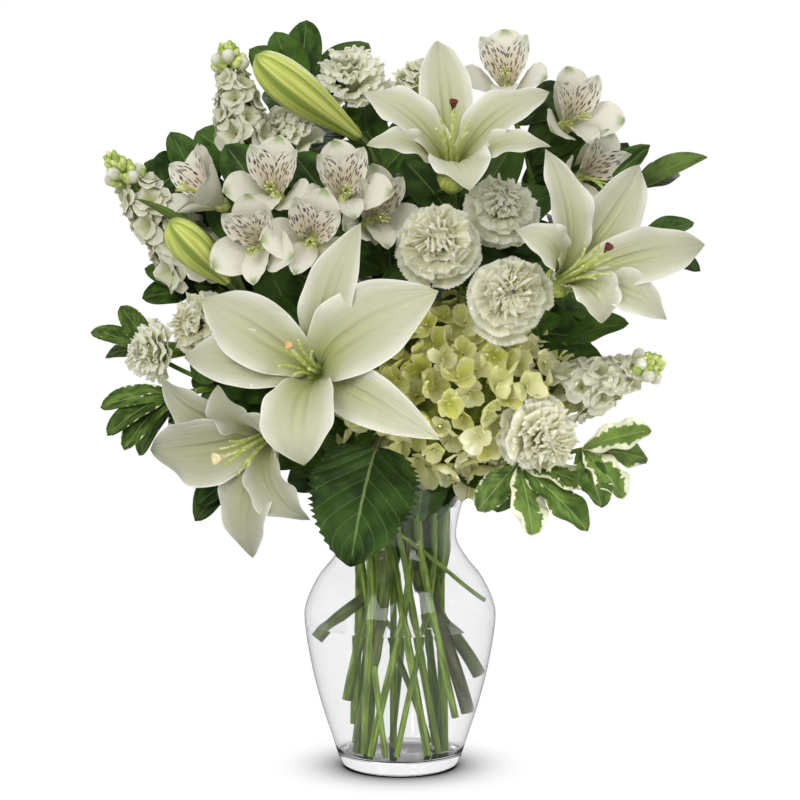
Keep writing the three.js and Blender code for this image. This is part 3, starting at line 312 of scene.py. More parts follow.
class Shading:
    """The shader tree of a material, or of a world, while it is being written."""

    def __init__(self, name, kind=bpy.data.materials):
        self.material = kind.new(name)
        self.material.use_nodes = True
        self.tree = self.material.node_tree
        self.tree.nodes.clear()

    def node(self, kind, settings=None, inputs=None, output=0):
        """Adds a node: first its settings, then its sockets' values, colours or links. Gives an output."""
        made = self.tree.nodes.new("ShaderNode" + kind)
        for name, value in (settings or {}).items():
            setattr(made, name, value)
        for name, value in (inputs or {}).items():
            if isinstance(value, Socket):
                self.tree.links.new(value.output, made.inputs[name])
            else:
                made.inputs[name].default_value = colour(value) if isinstance(value, str) else value
        return Socket(self, made.outputs[output]) if made.outputs else None

    def math(self, operation, *values):
        return self.node("Math", {"operation": operation}, dict(enumerate(values)))

    def blend(self, share, low, high):
        """The colour low where share is 0, and high where it is 1."""
        return self.node("Mix", {"data_type": "RGBA"}, {0: share, 6: low, 7: high}, 2)

    def rise(self, value, start, end):
        """0 below start, 1 above end and an S curve between."""
        inputs = {"Value": value, "From Min": start, "From Max": end}
        return self.node("MapRange", {"interpolation_type": "SMOOTHSTEP"}, inputs)

    def place(self):
        """Coordinates of the bouquet itself, in metres."""
        return self.node("TexCoord", output="Object")

    def uv(self, which):
        return self.node("SeparateXYZ", {}, {0: self.node("TexCoord", output="UV")}, which)

    def across(self):
        """From -1 to 1 across a petal or leaf."""
        return self.uv(0) * 2 - 1

    def along(self):
        """From 0 at its root to 1 at its tip."""
        return self.uv(1)

    def tone(self):
        return self.node("Attribute", {"attribute_name": "tone"}, output="Fac")

    def vector(self, x, y, z=0.0):
        return self.node("CombineXYZ", {}, {0: x, 1: y, 2: z})

    def noise(self, vector, scale, detail=3.0):
        return self.node("TexNoise", {}, {"Vector": vector, "Scale": scale, "Detail": detail})

    def bump(self, height, distance):
        """A normal from a height, distance metres deep where the height goes from 0 to 1."""
        return self.node("Bump", {}, {"Height": height, "Distance": distance})

    def ray(self, kind):
        """1 while light is looked up for a ray of this kind, and else 0."""
        return self.node("LightPath", output=f"Is {kind} Ray")

    def mirrored(self):
        """1 for a ray that was mirrored, and 0 for one that was bent by glass or went straight."""
        return self.ray("Glossy") * (1 - self.ray("Transmission"))

    def surface(self, **sockets):
        """The usual shader, with the sockets that are named."""
        names = {name.replace("_", " "): value for name, value in sockets.items()}
        return self.node("BsdfPrincipled", {}, names)

    def finish(self, shader):
        self.node("OutputMaterial", {}, {"Surface": shader})
        return self.material

    def lit_through(self, shader, tint, share):
        """Thin tissue: a share of the light that falls on it comes out at the other side."""
        through = self.node("BsdfTranslucent", {}, {"Color": tint})
        return self.finish(self.node("MixShader", {}, {0: share, 1: shader, 2: through}))


# %% [markdown]
# ## White petals
# No petal here is plain white. A lily is cream with a yellow-green throat and a pale green midrib between
# two grooves. Alstroemeria has short dark dashes, carnations and stock are milky, and the hydrangea is
# lime in its middle. Every petal lets light through, which a mix with a Translucent shader gives at
# little cost.


# %% Lily petal
def lily_petal_finish():
    """Cream, with a green midrib, grooves beside it at |a| = 0.16, fine ribs and a green throat.

    The middle is a darker cream-green and the margin paler, partly the petal's own colour and partly
    painted shade and painted highlight on its cupped form. The grooves are darker as painted shade, and
    the near-white rim is a painted highlight. The tone darkens a whole petal as painted shade, and its
    rim stays nearly white.
    """
    s = Shading("lily_petal")
    t, a = s.along(), s.across()
    side = abs(a)
    midrib = (1 - s.rise(side, 0.0, 0.14)) * (1 - s.rise(t, 0.55, 1.0))
    throat = 1 - s.rise(t, 0.16, 0.52)
    mottle = s.noise(s.place(), 60)
    # paler towards the margin: partly the petal's own whiter margin, partly a painted highlight
    base = s.blend(s.rise(side, 0.55, 1.0), "CECEB4", "E9E8DA")
    # darker cream-green middle: partly the petal's own colour, partly painted shade in the cupped middle
    inner = (1 - s.rise(side, 0.1, 0.9)) * (1 - s.rise(t, 0.25, 0.95))
    base = s.blend(inner * (0.6 + 0.4 * mottle), base, "B7B67A")
    base = s.blend(midrib * 0.55, base, "C6CF94")
    groove = (1 - s.rise(abs(side - 0.16), 0.0, 0.09)) * (1 - s.rise(t, 0.35, 0.95))
    # the grooves' darker grey-green is painted shade in the grooves
    base = s.blend(groove * 0.5, base, "9DA26E")
    base = s.blend(throat * 0.65, base, "B9C168")
    base = s.blend((1 - s.rise(t, 0.05, 0.2)) * 0.9, base, "7E9A3A")
    base = s.blend(s.rise(t, 0.9, 1.0) * 0.5, base, "D9E0B0")
    # the tone of a lily petal is its painted shade, darker for a lily that lies in shade
    base = s.blend(s.tone() * 0.5, base, "8F9470")
    # the near-white rim is a painted highlight
    base = s.blend(s.rise(side, 0.93, 0.99) * 0.7, base, "FAFAF0")
    ribs = s.noise(s.vector(a * 14, t * 1.5), 1.0, 3.0)
    normal = s.bump(ribs * 0.6 - groove * 0.6, 0.001)
    shader = s.surface(Base_Color=base, Roughness=0.42 + 0.1 * mottle, Normal=normal, Sheen_Weight=0.15)
    return s.lit_through(shader, "E6E5C0", 0.2)


lily_petal = lily_petal_finish()


# %% Soft petals
def soft_petal_finish(name, deep, pale, rim, glow, roughness, fold, share):
    """From deep at the root to pale, with a lighter rim. Noise stretched along it gives its fine folds."""
    s = Shading(name)
    t, a = s.along(), s.across()
    # the darker root is partly the petal's own greener claw and partly painted shade deep inside the bloom
    base = s.blend(s.rise(t, 0.1, 0.85), deep, pale)
    base = s.blend(s.tone() * 0.25, base, deep)
    # the lighter rim is a painted highlight
    base = s.blend(s.rise(t, 0.86, 0.95), base, rim)
    folds = s.noise(s.vector(a * 9, t * 2, s.tone() * 20), 1.0, 3.0)
    shader = s.surface(Base_Color=base, Roughness=roughness, Normal=s.bump(folds, fold), Sheen_Weight=0.1)
    return s.lit_through(shader, glow, share)


carnation_petal, painted_light_petal, stock_petal = (
    soft_petal_finish(*row)
    for row in (  # root, blade, rim, light let through, roughness, depth of folds, share let through
        ("carnation_petal", "C8C88E", "EFEDD4", "FFFFFA", "F8F7DA", 0.6, 0.0005, 0.46),
        # a lighter copy of the carnation finish, used as painted light on carnations that lie in shade
        ("painted_light_petal", "EEEEC8", "FFFFF4", "FFFFFC", "FFFFF0", 0.6, 0.0005, 0.55),
        ("stock_petal", "CCD09C", "E9E8D8", "FCFCF4", "F0EED6", 0.55, 0.0003, 0.4),
    )
)


# %% Hydrangea sepal
def hydrangea_finish():
    """Lime near the eye of each floret and all over some, whiter at the rims as a painted highlight, with
    fine branching veins.
    """
    s = Shading("hydrangea_petal")
    t, a = s.along(), s.across()
    # the tone is raised on the underside of the head as painted light, set where the florets are placed
    green = s.blend(s.tone(), "F2F292", "FFFFF2")
    deep = s.blend(s.tone(), "C8CC4E", "ECECB8")
    base = s.blend(s.rise(t, 0.1, 0.8), deep, green)
    # the whiter rim is a painted highlight of light caught by the curled edges
    rim = s.math("MAXIMUM", s.rise(abs(a), 0.66, 0.92), s.rise(t, 0.82, 0.95))
    base = s.blend(rim * 0.9, base, "FEFDDC")
    veins = s.noise(s.vector(a * 5 + t * 3, t * 3, s.tone() * 9), 1.2, 4.0)
    shader = s.surface(Base_Color=base, Roughness=0.55, Normal=s.bump(veins, 0.0005))
    return s.lit_through(shader, "F8F6B6", 0.46)


hydrangea_petal = hydrangea_finish()


# %% Alstroemeria tepals
def tepal_finish(name, flecks):
    """White with a green tip, or a peach one with dark dashes.

    The dashes are the cells of a Voronoi texture on (5 a, 6 t): where the distance to a cell's middle is
    small, the tepal is dark. A cell is longer than it is wide, so each spot is drawn out into a dash.
    """
    s = Shading(name)
    t, a, tone = s.along(), s.across(), s.tone()
    base = s.blend(s.rise(t, 0.05, 0.55), "D8D2A6" if flecks else "D4DAA4", "F4F1E4")
    if flecks:
        blush = s.rise(t, 0.15, 0.4) * (1 - s.rise(t, 0.55, 0.85)) * (1 - s.rise(abs(a), 0.5, 1.0))
        base = s.blend(blush * 0.5, base, "E3CBA6")
        cells = {"voronoi_dimensions": "2D", "feature": "F1"}
        spots = s.node("TexVoronoi", cells, {"Vector": s.vector(a * 5 + tone * 30, t * 6), "Scale": 1.0})
        reach = s.rise(t, 0.12, 0.2) * (1 - s.rise(t, 0.8, 0.95))
        dash = (1 - s.rise(spots, 0.2, 0.3)) * reach
        stripe = (1 - s.rise(abs(a), 0.02, 0.06)) * s.rise(t, 0.45, 0.5) * (1 - s.rise(t, 0.8, 0.9))
        base = s.blend(dash, base, "2A1016")
        base = s.blend(stripe * 0.6, base, "6B4A3A")
    tip = s.rise(t, 0.82, 0.97) * (1 - s.rise(abs(a), 0.25, 0.75))
    base = s.blend(tip * (0.5 if flecks else 0.9), base, "8DA84B")
    veins = s.noise(s.vector(a * 12, t * 1.5, tone * 9), 1.0, 2.0)
    shader = s.surface(Base_Color=base, Roughness=0.45, Normal=s.bump(veins, 0.0005))
    return s.lit_through(shader, "F8F6EE", 0.35)


plain_tepal = tepal_finish("alstroemeria_tepal", False)
flecked_tepal = tepal_finish("alstroemeria_flecked", True)

# %% [markdown]
# ## Green tissue
# Stems, buds and leaves share one recipe: two greens blended by noise that is stretched along the piece,
# then what sets it apart. A dark leaf is waxy with a pale midrib, a pittosporum leaf has a ragged cream
# border, and the hydrangea leaf has a net of sunken veins.


# %% Stems and buds
def stem_finish(name, dark, light, roughness=0.45):
    """Streaks of two greens along the stem, and faint ribs. Patches and stems of high tone are darker."""
    s = Shading(name)
    streaks = s.noise(s.vector(s.uv(0) * 7, s.along() * 6, s.tone() * 30), 1.0, 4.0)
    base = s.blend(s.rise(streaks, 0.35, 0.65), dark, light)
    shade = s.noise(s.place(), 25) * 0.35 + s.rise(s.tone(), 0.55, 0.75) * 0.45
    base = s.blend(shade, base, dark)
    shader = s.surface(Base_Color=base, Roughness=roughness, Normal=s.bump(streaks, 0.0005), IOR=1.4)
    return s.finish(shader)


green_stem = stem_finish("green_stem", "4E6A1C", "9AB64A")
lily_stem = stem_finish("lily_stem", "37441C", "6C7E3C")
woody_stem = stem_finish("woody_stem", "45452B", "717348", 0.65)


def bud_finish():
    """Yellow-green skin with paler ribs along it, greener in the grooves and at both ends."""
    s = Shading("bud_skin")
    around = s.uv(0)
    t = s.along()
    ribs = s.noise(s.vector(around * 20, t * 1.2), 1.0, 2.0)
    base = s.blend(s.rise(ribs, 0.35, 0.65), "ACBA46", "DEE482")
    groove = s.math("COSINE", around * (6 * np.pi))
    base = s.blend((1 - s.rise(groove, -1.0, -0.6)) * 0.75, base, "5F7C22")
    base = s.blend((1 - s.rise(t, 0.0, 0.2)) * 0.5, base, "7C9440")
    base = s.blend(s.rise(t, 0.85, 1.0) * 0.6, base, "8A9A3E")
    shader = s.surface(Base_Color=base, Roughness=0.4, Normal=s.bump(ribs, 0.0008), Sheen_Weight=0.1)
    return s.lit_through(shader, "C9D67A", 0.12)


bud_skin = bud_finish()


# %% Leaves
def leaf_finish(name, dark, light, vein, veins=8.0, slant=2.2, border=None, quilt=0.0008, ribs=0.25):
    """A leaf of two greens with a midrib |a| < 0.04 and side veins where t * veins - slant * |a| is whole.

    A border, if it has one, starts at |a| = 1 to 0.6 as the tone rises, moved in and out by noise.
    """
    s = Shading(name)
    t, a, tone = s.along(), s.across(), s.tone()
    side = abs(a)
    mottle = s.noise(s.vector(a * 2, t * 5, tone * 40), 1.0, 4.0)
    base = s.blend(s.rise(mottle + tone * 0.3, 0.4, 0.85), dark, light)
    saw = s.math("FRACT", t * veins - side * slant + 4.5)
    rib = 1 - s.rise(abs(saw - 0.5), 0.0, 0.045)
    midrib = 1 - s.rise(side, 0.01, 0.045)
    base = s.blend(rib * ribs, base, vein)
    if border:
        ragged = s.noise(s.vector(t * 11, a * 1.2, tone * 40), 1.0, 2.0)
        start = 1.02 - 0.4 * s.rise(tone, 0.35, 0.65)
        edge = s.rise(side + (ragged - 0.5) * 1.3 - start, 0.0, 0.07)
        base = s.blend(edge * 0.95, base, border)
    base = s.blend(midrib * 0.75, base, vein)
    normal = s.bump(abs(saw - 0.5) * (1 - midrib) + mottle * 0.3, quilt)
    shader = s.surface(Base_Color=base, Roughness=0.5, Normal=normal, Specular_IOR_Level=0.35)
    return s.lit_through(shader, light, 0.15)


dark_leaf = leaf_finish("dark_leaf", "263B12", "4A6A26", "7E9454", quilt=0.0004, ribs=0.1)
variegated_leaf = leaf_finish("variegated_leaf", "344E18", "6F8B3A", "A9B87C", border="EDEECF", ribs=0.08)
hydrangea_leaf = leaf_finish("hydrangea_leaf", "1F340E", "3C5C1E", "93AA66", 7.0, 2.6, None, 0.002, 0.4)
narrow_leaf = leaf_finish("narrow_leaf", "3E5622", "6E863C", "8EA460", 2.0, ribs=0.1)

# %% [markdown]
# ## Glass and water
# The vase is pressed glass with a thick foot. Glass bends light, so the stems look shifted behind it, as
# they really do. Cycles would leave its inside dark, because lamp light has to find its way through two
# bends: for the rays that only ask how much light arrives, the glass is a clear pane instead.


# %% Clear finishes
def clear_finish(name, ior, tint, level=0.5):
    """A refracting body that lets rays from lamps and from dull surfaces pass straight through it."""
    s = Shading(name)
    shine = dict(Roughness=0.0, IOR=ior, Specular_IOR_Level=level)
    body = s.surface(Base_Color=tint, Transmission_Weight=1.0, **shine)
    pane = s.node("BsdfTransparent", {}, {"Color": tint})
    for asks in ("Diffuse", "Shadow"):
        body = s.node("MixShader", {}, {0: s.ray(asks), 1: body, 2: pane})
    return s.finish(body)


glass = clear_finish("glass", 1.45, "FBFBFB")
water = clear_finish("water", 1.03, "FDFDFD", 0.1)


# %% Small solids
def plain_finish(name, deep, pale, scale=300.0, roughness=0.5, depth=0.0004):
    """Two colours blended by fine noise, with the same noise as bump."""
    s = Shading(name)
    grain = s.noise(s.place(), scale, 4.0)
    base = s.blend(s.rise(grain, 0.35, 0.65), deep, pale)
    return s.finish(s.surface(Base_Color=base, Roughness=roughness, Normal=s.bump(grain, depth)))


filament_finish = plain_finish("filament", "B4C25A", "DDE2A0")
pale_stigma = plain_finish("pale_stigma", "E0CF96", "F0E4B8")
orange_stigma = plain_finish("orange_stigma", "C2955E", "D8B27E")
dark_stigma = plain_finish("dark_stigma", "4A1712", "7A2A1E")
# the hydrangea's dark middle: the green of its stalks, darkened as painted shade between the florets
hydrangea_core = plain_finish("hydrangea_core", "4E5A1E", "7C8A38", 160.0)
tip_bud = plain_finish("tip_bud", "8FA646", "D3D98C", 260.0)

# %% [markdown]
# ## The vase
# An urn is turned from one outline: up the outside, over the lip and down the inside to a thick floor.
# The inside is the outside moved in by the wall. The water fills the inside up to its level.


# %% Vase and water
WALL = 2.7
FLOOR_Z = 9.0
RIM_Z = 203.0
WATER_Z = 94.0
ROUND = 96  # sides
LIP = 1.9  # the lip is this thick on either side of the middle of the wall
VASE_OUTLINE = [
    (34, 0), (38, 3.5), (43.5, 20), (50.5, 42), (56.2, 65), (60.3, 90), (60, 104),
    (52.5, 121), (43.5, 132.5), (37, 143), (35.6, 150), (37.2, 161), (41.2, 177), (46, 200),
]


def moved_out(outline, distance):
    """An outline moved along its own normals, which are its slopes turned by a right angle."""
    slope = unit(np.gradient(outline, axis=0))
    return outline + distance * np.stack([slope[:, 1], -slope[:, 0]], -1)


outside = smooth_line(VASE_OUTLINE)
inside = moved_out(outside, -WALL)
inside = inside[inside[:, 1] > FLOOR_Z + 2][::-1]
bend = np.linspace(0, np.pi, 9)[1:-1]
lip = (VASE_OUTLINE[-1][0] - WALL / 2, RIM_Z - LIP) + LIP * np.stack([np.cos(bend), np.sin(bend)], -1)
low = inside[-1]
corner = bezier([low, low - [0.6, 1.5], low - [3, 2], [low[0] - 6, FLOOR_Z]], np.linspace(0.2, 1, 6))
vase_outline = np.concatenate([[(0, 0)], outside, lip, inside, corner, [(0, FLOOR_Z)]])
piece("vase_glass", [turned(vase_outline, ROUND)], glass, "vase")

WETTED = 0.05  # the water reaches this far into the glass, so that no film of air is left between them
pool = moved_out(outside, -WALL + WETTED)
pool = pool[(pool[:, 1] > FLOOR_Z + 2) & (pool[:, 1] < WATER_Z)]
foot = corner[::-1] - [0, WETTED]
shore = [(pool[-1][0], WATER_Z), (pool[-1][0] - 1.5, WATER_Z - 0.4), (0, WATER_Z - 0.4)]
water_outline = np.concatenate([[(0, FLOOR_Z - WETTED)], foot, pool, shore])
piece("vase_water", [turned(water_outline, ROUND)], water, "water")

# %% [markdown]
# ## The shape of a petal
# A petal is a surface of two numbers, t along it and a across it. Its midrib is a cubic curve that climbs
# out of the throat and falls back at the tip. Its sides lift off the midrib, because the blade is cupped
# and its rim is longer than a flat blade needs, and so waves. Each kind of flower sets only the numbers.


# %% Petal surface
def width_at(t, skew, fullness):
    """(4 u (1 - u))^fullness with u = t^skew: nothing at both ends, and widest where u is a half."""
    u = t**skew
    return (4 * u * (1 - u)) ** fullness


def petal_surface(angle, rib, half, skew, fullness, cup, wave=0.0, waves=2.0, phase=0.0, relief=None):
    """A petal in its bloom's frame, as a function of (t, a).

    lift = a^2 * (hug + width * (cup * t + ripple)) + relief, at right angles to the midrib.
    hug = (1 - t) * width^2 / (2 * (radius + 5)) wraps the root about the axis.
    ripple = wave * t * sin(2 pi * waves * t + phase * sign(a)).
    """
    rib = np.asarray(rib, float)

    def surface(t, a):
        mid = bezier(rib, t)
        slope = bezier_slope(rib, t)
        width = half * width_at(t, skew, fullness)
        hug = (1 - t) * width**2 / (2 * (mid[..., 0] + 5))
        ripple = wave * t * np.sin(2 * np.pi * waves * t + phase * np.sign(a))
        lift = a * a * (hug + width * (cup * t + ripple))
        if relief:
            lift = lift + relief(t, a)
        out, height = mid[..., 0] - slope[..., 1] * lift, mid[..., 1] + slope[..., 0] * lift
        points = np.stack([out, a * width, height], -1)
        return points @ about_axis(angle)

    return surface


def base_behind(middle, facing, depth):
    """The base of a bloom lies behind its middle, against the way that it faces."""
    return np.asarray(middle, float) - depth * unit(facing)


# %% [markdown]
# ## Lilies
# A lily has three broad inner petals and three narrow outer ones. A deep furrow runs down each midrib,
# with a shallow groove on either side, and the margins are gently crimped. The anthers of a sold lily are
# pinched off so that their pollen doesn't stain, which leaves six bare filaments about a longer pistil.

# %% Lily places
# shade is painted shade: it darkens the whole of a lily that lies in shade, lily_low_left most
LILIES = {  # a petal has its angle, reach, height, half width and whorl, and sometimes a midrib of its own
    "lily_front": dict(
        base=(-48, -85, 261), facing=(-0.25, -0.92, 0.28), stigma="orange", shade=0.3,
        petals=[
            (67, 91, 35, 16.5, "outer"), (145, 79, 30, 21, "inner"), (172, 81, 20, 18, "outer"),
            (273, 63, 48, 23, "inner", ((2, 0), (10, 40), (40, 75), (63, 48))),
            (329, 95, 30, 16.5, "outer"), (26, 91, 32, 26, "inner"),
        ],
    ),
    "lily_low_left": dict(
        base=(-70, -62, 228), facing=(-0.55, -0.78, -0.28), stigma="cream", shade=0.62,
        petals=[
            (173, 80, 38, 22, "inner"), (140, 79, 25, 16.5, "outer"), (240, 86, 25, 19, "outer"),
            (279, 58, 20, 18, "inner"), (30, 40, 48, 16.5, "outer"), (85, 45, 48, 16, "inner"),
        ],
    ),
    "lily_top": dict(
        base=(32, -35, 373), facing=(0, -0.7, 0.71), stigma="dark", shade=0.1,
        petals=[
            (96, 85, 40, 16.5, "outer"), (34, 72, 40, 16, "inner"), (144, 68, 40, 15, "inner"),
            (190, 53, 45, 12, "outer"), (350, 60, 45, 11, "outer"), (282, 47, 45, 19, "inner"),
        ],
    ),
    "lily_right": dict(
        base=(93, -62, 313), facing=(0.45, -0.82, 0.33), stigma="dark", shade=0.1,
        petals=[
            (107, 77, 35, 15, "inner"), (59, 85, 35, 18, "outer"), (17, 93, 35, 17, "inner"),
            (340, 66, 30, 14, "outer"), (298, 34, 30, 16, "inner"), (153, 48, 30, 14, "outer"),
        ],
    ),
    "lily_back": dict(
        base=(-28, 66, 312), facing=(-0.1, 0.85, 0.4), stigma="dark", shade=0.1,
        petals=[
            (60 * k + 8, (78, 74)[k % 2], 32 + 4 * (k % 3), (23, 16.5)[k % 2], ("inner", "outer")[k % 2])
            for k in range(6)
        ],
    ),
}
LILY_WHORLS = {  # where a midrib leaves the throat, then skew, fullness, cup, wave and waves of the blade
    "outer": ((14, 34), (1.2, 1.0, 0.16, 0.1, 1.5)),
    "inner": ((6, 38), (1.32, 0.98, 0.14, 0.2, 2)),
}
STIGMAS = {"orange": (orange_stigma, 0.6), "cream": (pale_stigma, 0.85), "dark": (dark_stigma, 0.65)}
PISTIL_TIP = (0, 5, 66)


# %% Grow the lilies
def lily_relief(phase):
    """Furrow 2.4 deep on the midrib, grooves 1.1 deep at |a| = 0.36, crimps 1.6 high at the rim."""

    def relief(t, a):
        open_part = width_at(t, 0.8, 0.5)
        furrow = -2.4 * np.exp(-((a / 0.13) ** 2)) * (1 - t) ** 0.5
        grooves = -1.1 * np.exp(-(((np.abs(a) - 0.36) / 0.13) ** 2)) * (1 - t)
        crimps = 1.6 * a**4 * np.sin(2 * np.pi * 4 * t + phase + 2 * np.sign(a))
        return (furrow + grooves + crimps) * open_part

    return relief


def lily_petal_shape(k, shade, angle, reach, rise, half, whorl, rib=None):
    """Petal number k. Shade, from 0 to 1, is painted shade that makes it darker."""
    throat, numbers = LILY_WHORLS[whorl]
    rib = rib or ((2, 0), throat, (0.5 * reach, 52), (reach, rise))
    surface = petal_surface(angle, rib, half, *numbers, 0.7 * k, lily_relief(1.3 * k))
    return blade(surface, 40, 22, 1.1, shade)


def lily_heart():
    """Six filaments that arch outwards, and the pistil between them with its swollen ovary."""
    t = np.linspace(0, 1, 12)
    shapes = []
    for k in range(6):
        controls = [polar(r, 60 * k + 20, z) for r, z in ((2, 6), (3, 26), (5, 44), (11, 54))]
        shapes.append(rod(bezier(controls, t), 1.4 - 0.7 * t, 8))
    style = [(0, 0, 6), (0, 0, 30), (0, 1, 50), PISTIL_TIP]
    shapes.append(rod(bezier(style, t), 1.7 - 0.5 * t + 1.4 * np.exp(-((t / 0.25) ** 4)), 10))
    return shapes


def stigma(size):
    """The three-sided trumpet at the end of the pistil."""
    outline = np.array([(0, -7), (1.5, -6.5), (2, -3), (3.6, 1.5), (4.2, 3), (3.4, 4), (0, 3)]) * size
    return turned(smooth_line(outline, 3), 18, flute=0.12).placed(PISTIL_TIP, (0, 0.25, 1))


for name, lily in LILIES.items():
    stigma_finish, size = STIGMAS[lily["stigma"]]
    petals = [lily_petal_shape(k, lily["shade"], *petal) for k, petal in enumerate(lily["petals"])]
    cup = turned([(0, -6), (4, -5), (8, 1), (9.5, 6), (6, 11), (0, 12)], 16)
    for part, shapes, finish, slot in (
        ("petals", petals, lily_petal, "lily_petal"),
        ("base", [cup], bud_skin, "bud_skin"),
        ("filaments", lily_heart(), filament_finish, "lily_petal"),
        ("stigma", [stigma(size)], stigma_finish, "lily_petal"),
    ):
        shapes = [shape.placed(lily["base"], lily["facing"]) for shape in shapes]
        piece(f"{name}_{part}", shapes, finish, name)

# %% Lily buds
BUDS = {
    "lily_bud_top": dict(base=(-25, 10, 400), tip=(-90, -10, 452), thick=28),
    "lily_bud_left": dict(base=(-105, -55, 314), tip=(-139, -80, 353), thick=24),
}
BUD_OUTLINE = [
    (0, 0), (0.1, 0.01), (0.2, 0.12), (0.4, 0.4), (0.49, 0.62), (0.45, 0.8), (0.28, 0.94), (0, 1)
]
for name, bud in BUDS.items():
    along = np.subtract(bud["tip"], bud["base"])
    outline = smooth_line(BUD_OUTLINE) * (bud["thick"], np.linalg.norm(along))
    shape = turned(outline, 48, flute=0.08).placed(bud["base"], along)
    piece(name + "_skin", [shape], bud_skin, name)

# %% [markdown]
# ## Alstroemeria
# Each small flower has three broad outer tepals and three narrow inner ones. The upper two inner tepals
# carry the dark dashes that guide a bee. Flecked and plain tepals are separate pieces, since they have
# different finishes.

# %% Grow the alstroemerias
TEPALS = [  # angle, reach, height, half width and whorl
    (90, 30, 30, 13, "outer"), (205, 30, 30, 13, "outer"), (335, 30, 30, 13, "outer"),
    (50, 23, 38, 8.5, "inner"), (130, 23, 38, 8.5, "inner"), (270, 26, 30, 8.5, "inner"),
]
ALSTROEMERIA_DEPTH = 20  # from its throat back to its base
ALSTROEMERIAS = [  # throat, facing and roll in degrees
    ((-123, -40, 370), (-0.75, -0.35, 0.55), 15), ((-78, -50, 373), (-0.15, -0.85, 0.5), -10),
    ((-34, -55, 371), (0.1, -0.85, 0.5), 12), ((-86, -80, 340), (-0.35, -0.92, 0.15), 0),
    ((-54, -85, 344), (-0.05, -0.97, 0.25), -20), ((-15, -45, 355), (0.35, -0.85, 0.4), 8),
    ((66, 5, 439), (-0.1, -0.75, 0.65), 0), ((110, 5, 414), (0.35, -0.8, 0.45), 14),
    ((119, 0, 377), (0.55, -0.8, 0.15), -12),
]


def tepal_shape(angle, reach, rise, half, whorl, phase):
    """A tepal with a shallow fold on its midrib and a finely frilled margin near its tip."""
    throat, skew = {"outer": ((10, 10), 1.7), "inner": ((3, 18), 1.5)}[whorl]

    def relief(t, a):
        fold = -0.8 * np.exp(-((a / 0.16) ** 2)) * (1 - t)
        return fold + 0.5 * a**4 * t * np.sin(2 * np.pi * 6 * t + phase + np.sign(a))

    rib = ((1, 0), throat, (0.55 * reach, 26), (reach, rise))
    surface = petal_surface(angle, rib, half, skew, 0.75, 0.3, relief=relief)
    return blade(surface, 24, 12, 0.7, (phase * 0.37) % 1)


stamens = [turned([(0, -3), (4, -2), (5, 3), (4, 8), (0, 10)], 12)]
for k in range(6):
    stamen = ((0, 0, 6), (0, 0, 16), (0, -3, 24), polar(3, 60 * k, 34) + (1, -7, 0))
    stamens.append(rod(bezier(stamen, np.linspace(0, 1, 8)), 0.55, 6))
for number, (throat, facing, roll) in enumerate(ALSTROEMERIAS):
    name = f"alstroemeria_{number + 1}"
    base = base_behind(throat, facing, ALSTROEMERIA_DEPTH)
    tepals = [tepal_shape(angle + roll, *rest, 1.7 * k + number) for k, (angle, *rest) in enumerate(TEPALS)]
    for part, shapes, finish in (
        ("outer", tepals[:3] + tepals[5:], plain_tepal),
        ("inner", tepals[3:5], flecked_tepal),
        ("stamens", stamens, filament_finish),
    ):
        shapes = [shape.placed(base, facing) for shape in shapes]
        piece(f"{name}_{part}", shapes, finish, name)

# %% [markdown]
# ## Carnations
# A carnation is a dome of about forty fan-shaped petals, each on a narrow claw inside the calyx. Its
# margin is longer than the space it has, so it ruffles, and the edge is pinked like cloth. The petals are
# set in a spiral from a flat outer tier to an upright heart, each with its own ruffle, so that no two
# look alike.

# %% Grow the carnations
CARNATIONS = [  # middle of the dome, facing and width
    ((-32, 50, 435), (-0.1, -0.35, 0.93), 52), ((24, -65, 338), (-0.1, -0.9, 0.35), 52),
    ((63, -40, 358), (0.1, -0.8, 0.6), 47), ((66, -80, 308), (0.05, -0.95, 0.2), 52),
    ((85, -70, 221), (0.45, -0.85, -0.1), 50), ((-124, -50, 288), (-0.6, -0.7, 0.3), 45),
    ((-156, -25, 268), (-0.93, -0.3, -0.05), 40), ((-75, 18, 399), (-0.4, -0.3, 0.85), 50),
    ((16, 50, 430), (0.1, 0.1, 0.97), 48), ((62, 82, 306), (0.5, 0.75, 0.4), 50),
    ((-92, 84, 292), (-0.55, 0.75, 0.3), 48),
]
CARNATIONS_WITH_PAINTED_LIGHT = (1, 3, 7, 8)  # these get the lighter copy of the petal finish: painted light that lifts blooms lying in shade
CARNATION_DEPTH = 28  # from the middle of the dome back to the base of its calyx
SEAT = 19  # from that base up to where the petals spread
TIERS = [  # petals, reach and height as shares of the radius, half the angle of the fan, ruffle
    (7, 1.07, 0.08, 42, 0.08),
    (7, 1.0, 0.3, 42, 0.09),
    (7, 0.88, 0.52, 42, 0.1),
    (6, 0.72, 0.7, 46, 0.12),
    (5, 0.52, 0.82, 54, 0.14),
    (5, 0.34, 0.9, 60, 0.16),
    (4, 0.18, 0.94, 70, 0.16),
]


